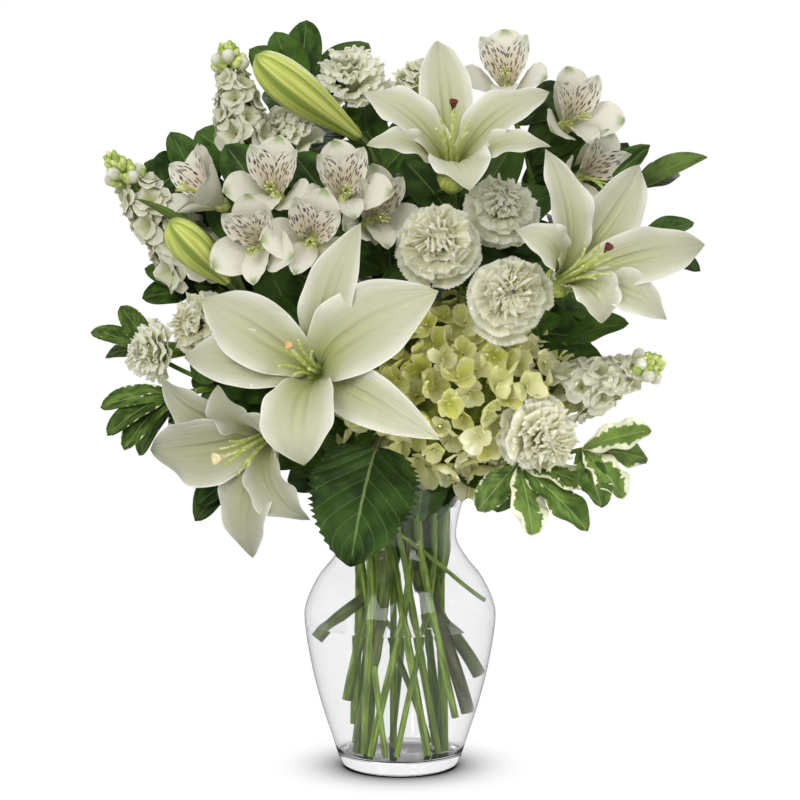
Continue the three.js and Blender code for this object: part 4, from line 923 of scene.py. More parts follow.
def fan_surface(angle, reach, top, fan, ruffle, ruffles, phase):
    """A fan whose rim is an arc of +-fan degrees about its claw. Its midrib climbs from SEAT and bends out.

    The rim waves by ruffle * s^3 * sin(2 pi * ruffles * a + phase), with finer waves that lean sideways,
    and a zigzag of 22 teeth cuts its edge.
    """
    rib = np.array([(1.5, -6), (0.3 * reach, 0.9 * top), (0.7 * reach, 1.15 * top), (reach, top)])
    rib = rib + (0, SEAT)

    def surface(t, a):
        teeth = 0.016 * np.where(t > 0.99, np.cos(np.pi * 22 * (a + 1)), 0.0)
        s = t * (1 - 0.1 * a**2 + teeth)
        mid = bezier(rib, s)
        slope = bezier_slope(rib, s)
        turn = np.radians(fan) * a * s**0.6
        radius = mid[..., 0] * np.cos(turn)
        side = (mid[..., 0] + 3) * np.sin(turn)
        wave = 2 * np.pi * ruffles * a + phase
        folds = s**3 * np.sin(wave) + 0.35 * s**6 * np.sin(2.6 * wave) + 0.5 * s**2 * np.cos(phase + 2 * a)
        lift = ruffle * folds
        side = side + 0.6 * ruffle * s**3 * np.cos(wave)
        points = np.stack([radius - slope[..., 1] * lift, side, mid[..., 1] + slope[..., 0] * lift], -1)
        return points @ about_axis(angle)

    return surface


for number, (heart, facing, size) in enumerate(CARNATIONS, 1):
    name = f"carnation_{number}"
    chance = np.random.default_rng(99 + number)
    share = size / 2
    base = base_behind(heart, facing, CARNATION_DEPTH)
    petals = []
    for tier, (count, reach, top, fan, ruffle) in enumerate(TIERS):
        for k in range(count):
            surface = fan_surface(
                360 * (k + 0.5 * tier) / count + chance.uniform(-9, 9) * (1 + 0.5 * tier),
                share * reach * chance.uniform(0.8, 1.06),
                share * (top + chance.uniform(-0.12, 0.12)),
                fan * chance.uniform(0.85, 1.15),
                share * ruffle * chance.uniform(0.8, 1.3),
                chance.uniform(0.8, 1.4 + 0.25 * tier),
                chance.uniform(0, 6.3),
            )
            petal = blade(surface, 9, 44, 0.5, chance.uniform(0, 1), pointed=False)
            petals.append(petal.placed(base, facing))
    # the lighter finish is painted light for the carnations that lie in shade
    finish = painted_light_petal if number in CARNATIONS_WITH_PAINTED_LIGHT else carnation_petal
    piece(name + "_petals", petals, finish, name)

# %% [markdown]
# ## Stock
# A spike of double stock is a stalk of small rosettes, with white buds above them and green ones at its
# tip. The rosettes stand in a spiral of 137.5 degrees, in which no rosette covers the one below it.

# %% Grow the stocks
GOLDEN = 137.508  # degrees from one to the next in a spiral
ROSETTES = 18
STOCKS = {
    "stock_top_left": dict(base=(-97, -2, 396), tip=(-108, 0, 458), size=14),
    "stock_left": dict(base=(-124, -20, 319), tip=(-181, -20, 391), size=18),
    "stock_right": dict(base=(105, -40, 243), tip=(159, -60, 266), size=15),
}


def rosette(size, chance):
    """Two whorls of round, cupped petals, the inner ones smaller and more upright."""
    petals = []
    for whorl, (count, reach, top) in enumerate([(5, 1.0, 0.22), (4, 0.62, 0.5)]):
        for k in range(count):
            far = reach * size * chance.uniform(0.85, 1.1)
            rise = 0.75 * top * size
            rib = ((0.5, 0), (0.3 * size, 0.35 * size), (0.6 * far, (top + 0.15) * size), (far, rise))
            angle = 360 * (k + 0.5 * whorl) / count + chance.uniform(-15, 15)
            cup, phase = chance.uniform(0.1, 0.4), chance.uniform(0, 6)
            surface = petal_surface(angle, rib, 0.46 * size, 1.4, 0.5, cup, 0.22, 1.3, phase)
            petals.append(blade(surface, 10, 10, 0.4, chance.uniform(0, 1)))
    return joined(petals)


for number, (name, spike) in enumerate(STOCKS.items()):
    chance = np.random.default_rng(200 + number)
    along = np.subtract(spike["tip"], spike["base"]).astype(float)
    length = np.linalg.norm(along)
    shapes = []
    for k in range(ROSETTES):
        share = k / (ROSETTES - 1)
        u = GOLDEN * k
        out = polar(1, u, 0.25 + 0.6 * share)
        size = spike["size"] * (1 - 0.4 * share)
        seat = polar(0.7 * size - 2 * share, u, 2 + 0.7 * length * share)
        shapes.append(rosette(size * chance.uniform(0.9, 1.1), chance).placed(seat, out))
    for k in range(6):
        seat = polar(5, 60 * k, length * (0.74 + 0.02 * k))
        shapes.append(bead(seat, 4.2, 9, 0.1, 12, polar(1, 60 * k, 0.9)))
    whole = joined(shapes).placed(spike["base"], along)
    piece(name + "_florets", [whole], stock_petal, name)

# %% [markdown]
# ## Hydrangea
# The head is a ball of small four-petalled florets over a dark middle, partly the green of its stalks
# and partly painted shade between the florets. The florets stand in a sunflower spiral, and each is
# tipped and turned a little by chance, as real ones crowd for room.

# %% Grow the hydrangea
HEAD = np.array([31, -18, 243.0])
AXES = np.array([68, 62, 58.0])  # half its width, depth and height
CORE = 0.8  # the dark middle's share of these axes
FLORETS = 250


def floret_shape(size, tone, chance):
    """Four round sepals that rise from a small bead and cup upwards, each by its own amount."""
    shapes = [bead((0, 0, -0.5), 1.0, 2.2, 0.2, 6)]
    for k in range(4):
        reach = size * chance.uniform(0.8, 1.12)
        top = size * chance.uniform(-0.1, 0.85)
        rib = ((0.5, -1), (0.4 * reach, 0.1 * top), (0.75 * reach, 0.5 * top), (reach * 0.95, top))
        wave, cup = chance.uniform(0.1, 0.3), chance.uniform(0.1, 0.75)
        half = size * chance.uniform(0.42, 0.56)
        surface = petal_surface(90 * k + chance.uniform(-14, 14), rib, half, 1.2, 0.5, cup, wave, 1.5, k)
        shapes.append(blade(surface, 7, 7, 0.4, np.clip(tone + chance.uniform(-0.25, 0.25), 0, 1)))
    return joined(shapes)


chance = np.random.default_rng(300)
florets = []
for k in range(FLORETS):
    height = 1 - 2 * (k + 0.5) / FLORETS
    flat = np.sqrt(1 - height**2)
    out = polar(flat, GOLDEN * k, height)
    seat = HEAD + out * AXES * chance.uniform(0.84, 1.03)
    facing = unit(out / AXES) + 0.4 * chance.normal(size=3)
    # paler towards the right, and paler on the underside as painted light that lifts the shaded underside
    whiter = 0.4 + 0.35 * out[0] - 0.35 * out[2]
    floret = floret_shape(chance.uniform(9, 14), whiter + chance.uniform(-0.35, 0.35), chance)
    florets.append(floret.spun(chance.uniform(0, 90)).placed(seat, facing))
piece("hydrangea_florets", florets, hydrangea_petal, "hydrangea_head")
# the dark middle under the florets, its darkness partly painted shade between them
u = np.linspace(0, np.pi, 13)
core = turned(np.stack([np.sin(u), -np.cos(u)], -1), 24)
core = core._replace(points=HEAD + core.points * AXES * CORE)
piece("hydrangea_middle", [core], hydrangea_core, "hydrangea_head")

# %% [markdown]
# ## Stems
# The stems cross in the neck of the vase and splay out again in the water, like a sheaf that is twisted
# as it is put in. Each has its own place in the neck, on one of three rings, and lands on the floor of
# the vase or against its wall. Above the neck it bends to its bloom. Branches are cubic curves too, and
# so is every line a leaf grows on.

# %% Stem lines
NECK_Z = 150.0
FOOT_Z = 10.7
TWIST = 62.0  # degrees from a stem's place in the neck to that of its foot
RINGS = {  # radius in the neck and at the foot, first angle, number of places
    "inner": (6, 8.5, 330, 3),
    "middle": (15.5, 19.5, 337.5, 8),
    "outer": (26.8, 31, 270, 14),
}


def place_in_neck(ring, place, foot=FOOT_Z):
    """Where a straight stem would stand, at the height foot, and where it passes through the neck."""
    neck_radius, foot_radius, start, places = RINGS[ring]
    angle = start + 360 * place / places
    neck = polar(neck_radius, angle, NECK_Z)
    lowest = polar(foot_radius, angle + TWIST, FOOT_Z)
    return lowest + (neck - lowest) * (foot - FOOT_Z) / (NECK_Z - FOOT_Z), neck


def upper_curve(foot, neck, head, heading, rise=None):
    """From the neck, left in line with foot for about a distance rise, to head, reached along heading."""
    reach = np.linalg.norm(np.subtract(head, neck))
    climb = rise or 0.4 * reach
    return np.array([neck, neck + climb * unit(neck - foot), head - 0.3 * reach * unit(heading), head])


def branch_curve(start, leave, to, arrive):
    """From start along leave, and to its end along arrive."""
    reach = np.linalg.norm(np.subtract(to, start))
    return np.array([start, start + 0.35 * reach * unit(leave), to - 0.35 * reach * unit(arrive), to])


BASES = {}  # where each bloom is joined to its stem, and the way the stem is going there
for name, bloom in {**LILIES, **BUDS, **STOCKS}.items():
    way = bloom["facing"] if "facing" in bloom else np.subtract(bloom["tip"], bloom["base"])
    BASES[name] = (np.array(bloom["base"], float), unit(way))
for kind, blooms, depth in (
    ("alstroemeria", ALSTROEMERIAS, ALSTROEMERIA_DEPTH),
    ("carnation", CARNATIONS, CARNATION_DEPTH),
):
    for number, (middle, facing, _) in enumerate(blooms, 1):
        BASES[f"{kind}_{number}"] = (base_behind(middle, facing, depth), unit(facing))


class Stem(NamedTuple):
    """A stem or a spray. Line 0 is the stem itself, line 1 its first branch, and so on."""

    place: tuple  # in the neck: a ring, the number on it and, if it isn't FOOT_Z, the height of its foot
    lands: tuple  # where its foot really stands
    head: tuple
    heading: tuple
    radius: float = 1.9
    rise: float = None
    kind: str = "green"
    branches: list = ()  # line, share of it, way it leaves, end, way it arrives, radius
    leaves: list = ()  # line, share of it, tip, half its width and, if it has its own, style and up
    style: str = None
    up: tuple = None
    calyxes: tuple = ()
    spike: str = None
    filled: bool = True  # has more leaves, that fill the inside of the bouquet
    tones: float = 1.0


def branch_to(name, line, share, leave, radius=2.2):
    """A branch from a share of a line to the base of a bloom."""
    base, way = BASES[name]
    return (line, share, leave, base + way, way, radius)


def spray_to(kind, numbers, leave, radius):
    """Branches from the end of a stem to several blooms of a kind."""
    return [branch_to(f"{kind}_{number}", 0, 1, leave, radius) for number in numbers]


def stem_to(name, place, lands, radius, **rest):
    """A stem that ends in the base of one bloom."""
    base, way = BASES[name]
    return Stem(place, lands, base + way, way, radius, **rest)


def carnation_stem(number, place, lands, **rest):
    return stem_to(f"carnation_{number}", place, lands, 2.2, calyxes=(number,), **rest)


def stock_stem(name, place, lands, **rest):
    """The stalk of a spike runs on between its florets, to the buds at its tip."""
    tip, way = STOCKS[name]["tip"], BASES[name][1]
    return stem_to(name, place, lands, 3, branches=[(0, 1, way, tip, way, 2.0)], spike=name, **rest)


# %% Stem places
TOWARDS_US = (0, -0.8, 0.5)
STEMS = {
    "stem_lily_left": Stem(
        ("outer", 13), (-26, -10, 11), (-50, -28, 235), (-0.4, -0.5, 0.75), 3.3, kind="lily",
        style="narrow", up=(0, 0.6, 1),
        branches=[
            branch_to("lily_front", 0, 1, (-0.3, -0.6, 0.7)),
            branch_to("lily_low_left", 0, 0.95, (-0.5, -0.8, 0.2)),
            branch_to("lily_bud_left", 0, 1, (-0.6, -0.2, 0.8)),
        ],
        leaves=[(3, 0.8, (-162, -62, 366), 7)],
    ),
    "stem_lily_right": Stem(
        ("inner", 0), (49, -6, 60), (48, -12, 300), (0.3, -0.1, 0.95), 3.3, kind="lily", style="broad",
        up=TOWARDS_US,
        branches=[
            branch_to("lily_top", 0, 1, (0, 0.1, 1)), branch_to("lily_right", 0, 1, (0.6, -0.4, 0.5)),
        ],
        leaves=[
            (1, 0.3, (-12, 12, 352), 15), (1, 0.5, (2, 6, 386), 15), (1, 0.5, (74, 12, 400), 16),
            (1, 0.4, (98, 2, 366), 16), (1, 0.2, (50, 14, 362), 17), (2, 0.3, (104, -8, 330), 15),
        ],
    ),
    "stem_lily_back": Stem(
        ("inner", 1), (-51.3, -4, 83), (-10, 16, 330), (-0.1, 0.1, 1), 3.2, kind="lily", style="narrow",
        up=(-0.5, 0, 1),
        branches=[
            branch_to("lily_bud_top", 0, 1, (0, 0, 1)), branch_to("lily_back", 0, 0.8, (-0.2, 0.7, 0.6)),
        ],
        leaves=[(0, 0.95, (36, -22, 371), 7)],
    ),
    "stem_alstroemeria_left": Stem(
        ("middle", 5), (-19, -6, 11), (-78, -28, 312), (-0.3, -0.1, 0.9), 2.4,
        branches=spray_to("alstroemeria", (1, 2, 4), (-0.2, -0.1, 1), 1.6),
    ),
    "stem_alstroemeria_middle": Stem(
        ("middle", 6), (17, -20, 11), (-34, -28, 316), (-0.1, -0.1, 0.9), 2.4,
        branches=spray_to("alstroemeria", (3, 5, 6), (0, -0.1, 1), 1.6),
    ),
    "stem_alstroemeria_right": Stem(
        ("middle", 1), (26, 0, 11), (82, 16, 368), (0.2, 0, 0.95), 2.4,
        branches=spray_to("alstroemeria", (7, 8, 9), (0.1, 0, 1), 1.6),
    ),
    "stem_carnations_front": Stem(
        ("middle", 7), (-18, -25, 11), (44, -36, 290), (0.1, -0.1, 0.95), 2.3, calyxes=(2, 3, 4),
        branches=spray_to("carnation", (2, 3, 4), (0, 0, 1), 1.8),
    ),
    "stem_carnation_low": carnation_stem(
        5, ("outer", 1, 40), (34, -22, 36), rise=72, style="narrow", up=(0, 1, 0),
        leaves=[(0, 0.1, (12, -22, 118), 3.5)],
    ),
    "stem_carnations_left": Stem(
        ("outer", 12, 30), (-22, -18, 12), (-98, -26, 252), (-0.8, -0.2, 0.4), 2.3, rise=90,
        calyxes=(6, 7), branches=spray_to("carnation", (6, 7), (-0.8, -0.2, 0.4), 1.8),
    ),
    "stem_carnations_top": Stem(
        ("middle", 2), (22, 12, 11), (-6, 44, 376), (0, 0.1, 0.95), 2.3, style="narrow", up=(0, -1, 0),
        calyxes=(1, 9), branches=spray_to("carnation", (1, 9), (0, 0, 1), 1.8),
        leaves=[(0, 0.1, (10, 8, 110), 5), (0, 0.12, (-8, 12, 116), 5)],
    ),
    "stem_carnation_high": carnation_stem(8, ("inner", 2), (-4, 6, 11)),
    "stem_carnation_back_right": carnation_stem(
        10, ("outer", 5, 26), (20, 22, 20), style="narrow", up=(0.3, -1, 0),
        leaves=[(0, 0.15, (26, 6, 116), 5)],
    ),
    "stem_carnation_back_left": carnation_stem(11, ("outer", 7, 22), (-24, 14, 20)),
    "stem_stock_top_left": stock_stem("stock_top_left", ("middle", 4), (-33, 4, 42)),
    "stem_stock_left": stock_stem("stock_left", ("outer", 10), (-28, 8, 26)),
    "stem_stock_right": stock_stem(
        "stock_right", ("outer", 3), (27, -6, 11), rise=99, filled=False, style="narrow", up=(0, 1, 0),
        leaves=[(0, 0.1, (26, -10, 116), 3.5), (0, 0.1, (28, -2, 120), 4), (0, 0.1, (18, 4, 118), 4)],
    ),
    "stem_hydrangea": Stem(
        ("middle", 0), (42, -6, 36), (31, -18, 243), (0.1, -0.1, 1), 4.3, kind="woody", style="toothed",
        up=(-0.1, -0.9, 0.4),
        branches=[(0, 0.96, (-1, -0.3, 0), (-15, -66, 211), (-0.1, -0.8, -0.6), 2)],
        leaves=[(1, 0.95, (-30, -94, 144), 33)],
    ),
    "pittosporum_right": Stem(
        ("outer", 0), (24, -14, 11), (73, -66, 202), (0.6, -0.5, -0.4), rise=80, style="pittosporum",
        up=(0.3, -0.7, 0.7), filled=False,
        branches=[
            (0, 0.97, (0.9, 0, 0.1), (112, -62, 212), (0.9, -0.2, 0.2), 1.5),
            (0, 0.02, (0.75, 0.2, -0.6), (53, -10, 108), (0.8, 0.1, -0.6), 1.3),
        ],
        leaves=[
            (0, 0.97, (47, -85, 177), 10), (0, 0.99, (80, -95, 163), 12), (0, 0.99, (114, -88, 165), 12),
            (0, 0.95, (121, -75, 188), 10), (0, 0.92, (60, -55, 172), 10), (1, 0.99, (154, -72, 225), 11),
            (1, 0.99, (136, -82, 184), 12), (1, 0.93, (122, -92, 180), 11),
            (1, 0.95, (153, -50, 204), 11),
        ],
    ),
    "pittosporum_left": Stem(
        ("outer", 11), (-9, -27, 11), (-143, -35, 242), (-0.9, -0.2, -0.1), rise=126, style="smooth",
        up=(-0.3, -0.6, 0.8), filled=False, tones=0.4,
        branches=[
            (0, 0.8, (-0.8, 0.2, 0.5), (-157, -12, 268), (-0.7, 0.2, 0.6), 1.5),
            (0, 0.62, (-0.6, -0.2, -0.1), (-86, -35, 195), (-0.5, -0.4, -0.7), 1.5),
        ],
        leaves=[
            (0, 0.99, (-186, -35, 234), 10), (0, 0.99, (-180, -55, 219), 10),
            (0, 0.97, (-169, -62, 211), 10), (0, 0.96, (-162, -34, 204), 10),
            (0, 0.93, (-133, -52, 211), 9), (1, 0.99, (-194, -12, 279), 8),
            (1, 0.97, (-175, -15, 296), 8), (1, 0.95, (-186, 10, 262), 8),
            (2, 0.98, (-126, -48, 174), 14, "broad"), (2, 0.9, (-96, -66, 184), 12, "broad"),
            (2, 0.9, (-127, -44, 164), 15, "broad"),
        ],
    ),
    "greenery_high_left": Stem(
        ("outer", 9), (18, 20, 11), (-129, 2, 364), (-0.4, 0, 0.9), style="broad", up=(0.3, -0.8, 0.5),
        branches=[(0, 0.65, (-0.5, -0.3, 0.7), (-133, -5, 304), (-0.8, -0.3, 0.2), 1.4)],
        leaves=[
            (0, 0.99, (-144, 0, 404), 12), (0, 0.98, (-161, 7, 384), 11), (0, 0.98, (-120, 18, 406), 12),
            (0, 0.92, (-152, 26, 366), 12), (1, 0.98, (-161, -20, 301), 9),
            (1, 0.95, (-160, -12, 319), 9), (0, 0.82, (-118, 38, 350), 12),
        ],
    ),
    "greenery_top": Stem(
        ("middle", 3), (-21, 14, 11), (-64, 46, 426), (-0.1, 0.1, 1), style="broad", up=(0, -0.9, 0.5),
        leaves=[
            (0, 0.99, (-96, 35, 455), 13), (0, 0.99, (-80, 42, 466), 13), (0, 0.99, (-60, 68, 473), 12),
            (0, 0.96, (-20, 70, 458), 13), (0, 0.92, (-84, 76, 430), 13), (0, 0.86, (-40, 82, 404), 13),
            (0, 0.82, (-96, 60, 394), 13),
        ],
    ),
    "greenery_right": Stem(
        ("outer", 2), (-2, -24, 11), (121, 28, 350), (0.5, 0, 0.85), style="broad", up=(0, -0.7, 0.7),
        branches=[
            (0, 1, (0.5, 0, 0.85), (152, 25, 367), (0.9, 0, 0.4), 1.4),
            (0, 0.8, (0.7, -0.2, 0.6), (151, 5, 330), (0.9, -0.3, 0.1), 1.4),
            (0, 0.55, (0.5, -0.4, 0.6), (104, -34, 274), (0.7, -0.6, 0.1), 1.4),
        ],
        leaves=[
            (0, 0.98, (145, 30, 396), 12), (0, 0.9, (157, -4, 396), 14),
            (1, 0.98, (195, 20, 387), 9, "narrow"), (1, 0.93, (178, 46, 376), 10),
            (2, 0.98, (188, -10, 317), 9), (2, 0.93, (186, 14, 346), 9), (3, 0.97, (141, -50, 288), 11),
            (0, 0.1, (18, -18, 120), 3.5, "narrow", (0, 1, 0)), (0, 0.75, (140, 48, 312), 12),
        ],
    ),
}


BACK_LEAVES = 8
BACK_RISE = 106


def leaves_along(line, style):
    """Leaves in a spiral on the upper part of a line, ever smaller. The last goes on along the line."""
    leaves = []
    for k in range(BACK_LEAVES):
        share = k / (BACK_LEAVES - 1)
        t = 0.45 + 0.54 * share
        start, way = bezier(line, t), bezier_slope(line, t)
        away = unit(polar(1, GOLDEN * k, 4 if share == 1 else 0.9) @ axes_of(way))
        tip = start + away * 46 * (1 - 0.25 * share)
        leaves.append((0, t, tip, 15 * (1 - 0.2 * share), style, way))
    return leaves


for name, place, lands, head, heading, style in (
    ("greenery_back_right", 4, (28, 6, 11), (118, 72, 262), (0.6, 0.35, 0.5), "broad"),
    ("pittosporum_back", 6, (-5, 26, 11), (6, 112, 236), (0.05, 0.9, 0.2), "pittosporum"),
    ("greenery_back_left", 8, (-28, 4, 14), (-122, 76, 250), (-0.6, 0.35, 0.4), "broad"),
):
    line = upper_curve(*place_in_neck("outer", place), np.array(head, float), heading, BACK_RISE)
    leaves = leaves_along(line, style)
    STEMS[name] = Stem(("outer", place), lands, head, heading, rise=BACK_RISE, leaves=leaves)

# %% [markdown]
# ## Leaves
# A leaf is a lens about a surface that arches along its length, dips to its midrib and waves at its
# margin. The toothed leaf also swells between its side veins, as a hydrangea's does, and its edge is cut
# into teeth.

# %% Leaf surface
LEAF_STYLE = {  # arch, cup, wave, waves, skew and fullness
    "pittosporum": (0.06, 0.15, 0.22, 2.5, 1.3, 0.62),
    "smooth": (0.08, 0.2, 0.05, 1.5, 1.1, 0.52),
    "broad": (0.1, 0.25, 0.12, 1.5, 1.1, 0.66),
    "narrow": (0.12, 0.35, 0.05, 1, 0.8, 0.8),
    "toothed": (0.12, 0.18, 0.1, 3, 0.72, 0.7),
}


def leaf_surface(root, to, half, up, teeth, arch, cup, wave, waves, skew, fullness):
    """A leaf from root to its tip, with its face towards up, as a function of (t, a).

    lift = length * arch * 4 t (1 - t) + width * a^2 * (cup + wave * sin(2 pi * waves * t + side's phase)),
    plus 0.06 * half beyond |a| = 1/6. With teeth, width is also multiplied by
    1 + 0.13 * |a|^5 * zigzag(20 t), and quilts of height teeth are added.
    """
    root = np.asarray(root, float)
    along = np.asarray(to, float) - root
    length = np.linalg.norm(along)
    side = unit(np.cross(along, up))
    face = unit(np.cross(side, along))

    def surface(t, a):
        width = half * width_at(t, skew, fullness)
        ripple = wave * np.sin(2 * np.pi * waves * t + np.where(a > 0, 0.6, 2.2))
        lift = length * arch * 4 * t * (1 - t) + width * a**2 * (cup + ripple)
        if teeth:
            width = width * (1 + 0.13 * np.abs(a) ** 5 * (2 * np.abs((20 * t) % 1 - 0.5) - 0.5))
            quilt = np.abs(np.sin(np.pi * (7 * t - 2.6 * np.abs(a)))) - 0.5
            lift = lift + teeth * quilt * width_at(t, 1, 0.4) * (1 - a**6)
        lift = lift + 0.06 * half * np.minimum(np.abs(a) * 6, 1)
        return root + t[..., None] * along + (a * width)[..., None] * side + lift[..., None] * face

    return surface


def leaf_shape(style, start, to, half, up, tone):
    rows, columns, teeth = (100, 20, 1.3) if style == "toothed" else (20, 10, 0)
    return blade(leaf_surface(start, to, half, up, teeth, *LEAF_STYLE[style]), rows, columns, 0.8, tone)


# %% Grow the stems and leaves
STEM_FINISH = {
    "lily": (lily_stem, "lily_stem", 9.0),
    "woody": (woody_stem, "woody_stem", 2.0),
    "green": (green_stem, "green_stem", 3.0),
}
LEAF_FINISH = {
    "pittosporum": (variegated_leaf, "variegated_leaf"),
    "smooth": (variegated_leaf, "variegated_leaf"),
    "broad": (dark_leaf, "dark_leaf"),
    "narrow": (narrow_leaf, "lily_stem"),
    "toothed": (hydrangea_leaf, "woody_stem"),
}
CALYX_OUTLINE = [(0, -2), (2.6, -1), (3.6, 2), (4.6, 8), (5.8, 18), (6.6, 23), (5.4, 21), (0, 20)]
STEM_SHARES = (0.06, 0.18, 0.3, 0.42, 0.54, 0.66, 0.78, 0.9)  # where filling leaves start on a stem
BRANCH_SHARES = (0.2, 0.6)  # and on a branch
HIGH_CUT = 50  # a stem that lands higher than this leans on the wall and shows its thick end
SPIKE_BUDS = 24


def stem_line(line, radius, nodes, steps=28, sides=12):
    """A rod along a cubic with small swellings, exp(-(distance / 0.02)^2), at its nodes."""
    t = np.linspace(0, 1, steps)
    swell = sum(np.exp(-(((t - (k + 0.5) / nodes) / 0.02) ** 2)) for k in range(int(nodes)))
    return rod(bezier(line, t), radius * (1 + 0.18 * swell), sides, tone=(radius * 7.3) % 1)


def lower_line(foot, neck, lands, radius, tone):
    """From where a stem lands to the neck, left in line with foot. One cut high up is thicker there."""
    t = np.linspace(0, 1, 40)
    nodes = np.exp(-(((t - 0.42) / 0.02) ** 2)) + np.exp(-(((t - 0.8) / 0.02) ** 2))
    line = bezier([lands, lands + 0.4 * (neck - lands), neck - 0.3 * (neck - foot), neck], t)
    girth = 1.3 - 0.3 * t if lands[2] > HIGH_CUT else 1
    return rod(line, radius * girth * (1 + 0.15 * nodes), 14, tone)


def spike_buds(spike):
    """Closed buds about the end of a stalk, smaller and more upright towards its tip."""
    base = np.array(STOCKS[spike]["base"], float)
    along = np.subtract(STOCKS[spike]["tip"], base)
    length = np.linalg.norm(along)
    shapes = []
    for k in range(SPIKE_BUDS):
        share = k / (SPIKE_BUDS - 1)
        u = GOLDEN * k + 60
        seat = polar(3.5 - 2 * share, u, length * (0.74 + 0.22 * share))
        out = polar(1, u, 0.5 + 1.8 * share)
        size = 3.4 - 1.6 * share
        shapes.append(bead(seat, size, 3.2 * size, share, 10, out))
    return joined(shapes).placed(base, along)


MIDDLES = [base + 20 * way for base, way in BASES.values()]  # a point in the middle of each bloom
REACHES = [52 if name in LILIES else 27 for name in BASES]  # no filling leaf comes closer to it
INSIDE = (-128, -30, 185), (128, 85, 425)  # the box that the tips of filling leaves keep to
FILLING_LENGTH = (46, 64)
FILLING_HALF = (13, 18)
TRIES = 12


def filling_leaf(line, share, chance):
    """A leaf on a line, with its tip inside the bouquet. It is drawn again while it would run into a bloom.

    Near the neck it goes along its stem, and further up it turns out: outward * min(1, 3 * share) + way.
    """
    start, way = bezier(line, share), bezier_slope(line, share)
    for _ in range(TRIES):
        outward = (unit(start * (1, 1, 0)) + 0.8 * chance.normal(size=3)) * min(1, 3 * share)
        to = start + unit(outward + 0.9 * way) * chance.uniform(*FILLING_LENGTH)
        to = np.clip(to, *INSIDE)
        middle = start + (to - start) * np.linspace(0.3, 1, 5)[:, None]
        apart = np.linalg.norm(middle[:, None] - MIDDLES, axis=2)
        if (apart > REACHES).all():
            return (start, to, chance.uniform(*FILLING_HALF), TOWARDS_US)
    return None


for seed, (name, stem) in enumerate(STEMS.items(), 400):
    chance = np.random.default_rng(seed)
    foot, neck = place_in_neck(*stem.place)
    head, lands = np.asarray(stem.head, float), np.asarray(stem.lands, float)
    lines = [upper_curve(foot, neck, head, stem.heading, stem.rise)]
    finish, slot, nodes = STEM_FINISH[stem.kind]
    lower = lower_line(foot, neck, lands, stem.radius, chance.uniform())
    shapes = [lower, stem_line(lines[0], stem.radius, nodes)]
    for line, share, leave, to, arrive, radius in stem.branches:
        lines.append(branch_curve(bezier(lines[line], share), leave, np.asarray(to, float), arrive))
        shapes.append(stem_line(lines[-1], radius, 1.0, 16, 10))
    for number in stem.calyxes:
        calyx = turned(smooth_line(CALYX_OUTLINE, 4), 15, flute=0.05, flutes=5)
        shapes.append(calyx.placed(*BASES[f"carnation_{number}"]))
    piece(name + "_line", shapes, finish, name)
    if stem.spike:
        piece(name + "_buds", [spike_buds(stem.spike)], tip_bud, name)
    groups = {}
    for line, share, tip, half, *own in stem.leaves:
        style, up = own[0] if own else stem.style, own[1] if len(own) > 1 else stem.up
        leaf = leaf_shape(style, bezier(lines[line], share), tip, half, up, chance.uniform() * stem.tones)
        groups.setdefault(style, []).append(leaf)
    for k, line in enumerate(lines if stem.filled else []):
        for share in BRANCH_SHARES if k else STEM_SHARES:
            leaf = filling_leaf(line, share, chance)
            if leaf:
                groups.setdefault("broad", []).append(leaf_shape("broad", *leaf, chance.uniform()))
    for style, shapes in groups.items():
        finish, slot = LEAF_FINISH[style]
        piece(f"{name}_{style}", shapes, finish, name)

# %% [markdown]
# ## Table, light and camera
# The picture is taken on a white sweep that is lit by itself, in soft light from the upper left, with a
# weak low light on the vase from the right. The table is plain white light, dimmed close to the foot by
# ambient occlusion, which is the share of open sky over a point. The key light isn't mirrored, so that no
# glare lies on the glass.

# %% Table
DIM = 0.85  # glass and wax mirror a dim room, not the white sweep, which would hide what is behind them
DULL = 0.3  # and dull surfaces see a sweep that is less bright, which leaves their shadows deeper


def sweep_strength(shading):
    """1 - DULL on dull surfaces, 1 - DIM in mirrors, 1 to the eye and through glass."""
    return 1 - shading.ray("Diffuse") * DULL - shading.mirrored() * DIM


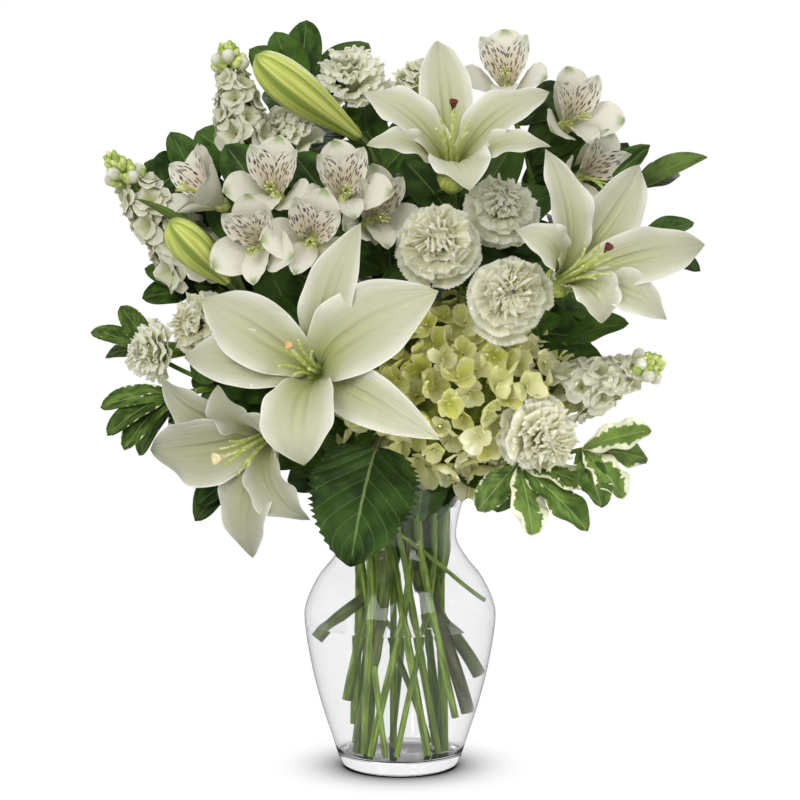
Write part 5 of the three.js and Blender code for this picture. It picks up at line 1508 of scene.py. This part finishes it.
stage = Shading("table")
near = stage.node("AmbientOcclusion", {"samples": 16}, {"Distance": 0.066}, 1)
glow = sweep_strength(stage) * stage.rise(near, 0.25, 0.85)
stage.finish(stage.node("Emission", {}, {"Color": (1, 1, 1, 1), "Strength": glow}))
bpy.ops.mesh.primitive_circle_add(vertices=64, radius=6, fill_type="NGON", location=(0, 0, -0.0002))
floor = bpy.context.object
floor.name = "table"
floor.data.materials.append(stage.material)

# %% Light
room = Shading("room", bpy.data.worlds)
height = room.node("SeparateXYZ", {}, {0: room.node("TexCoord", output="Generated")}, 2)
dark_ceiling = room.ray("Transmission") * room.rise(height, 0.35, 0.6)
strength = sweep_strength(room) - dark_ceiling * DIM
white = room.node("Background", {}, {"Color": (1, 1, 1, 1), "Strength": strength})
room.node("OutputWorld", {}, {"Surface": white})
bpy.context.scene.world = room.material


def aim(thing, place, target):
    """Stands a lamp or camera at place, level, so that it looks at target."""
    way = unit(np.subtract(target, place))
    side = unit(np.cross(way, (0, 0, 1)))
    thing.location = place
    thing.rotation_euler = Matrix(np.stack([side, np.cross(side, way), -way], 1).tolist()).to_euler()
    bpy.context.scene.collection.objects.link(thing)


def lamp(name, place, target, size, power, mirrored=True, spread=180):
    """A square soft light, seen in shiny things if it is mirrored. Its light spreads by so many degrees."""
    data = bpy.data.lights.new(name, "AREA")
    data.size = size
    data.energy = power
    data.spread = np.radians(spread)
    thing = bpy.data.objects.new(name, data)
    thing.visible_glossy = mirrored
    aim(thing, place, target)


lamp("key", (-0.8, -1.5, 1.3), (0, 0, 0.3), 1.1, 20, mirrored=False)
lamp("fill", (1.0, -1.4, 1.5), (0, 0, 0.2), 0.8, 6)
lamp("bounce", (1.0, -1.3, 0.08), (0.05, -0.05, 0.17), 0.25, 0.13, mirrored=False, spread=8)
lamp("rim", (0.3, 1.3, 1.2), (0, 0, 0.3), 0.9, 7)

# %% Camera
data = bpy.data.cameras.new("camera")
data.lens = 142.4
data.sensor_width = 36
camera = bpy.data.objects.new("camera", data)
aim(camera, (0, -1.985, 0.479), (0, 0, 0.235))
bpy.context.scene.camera = camera
bpy.context.scene.view_settings.view_transform = "Standard"
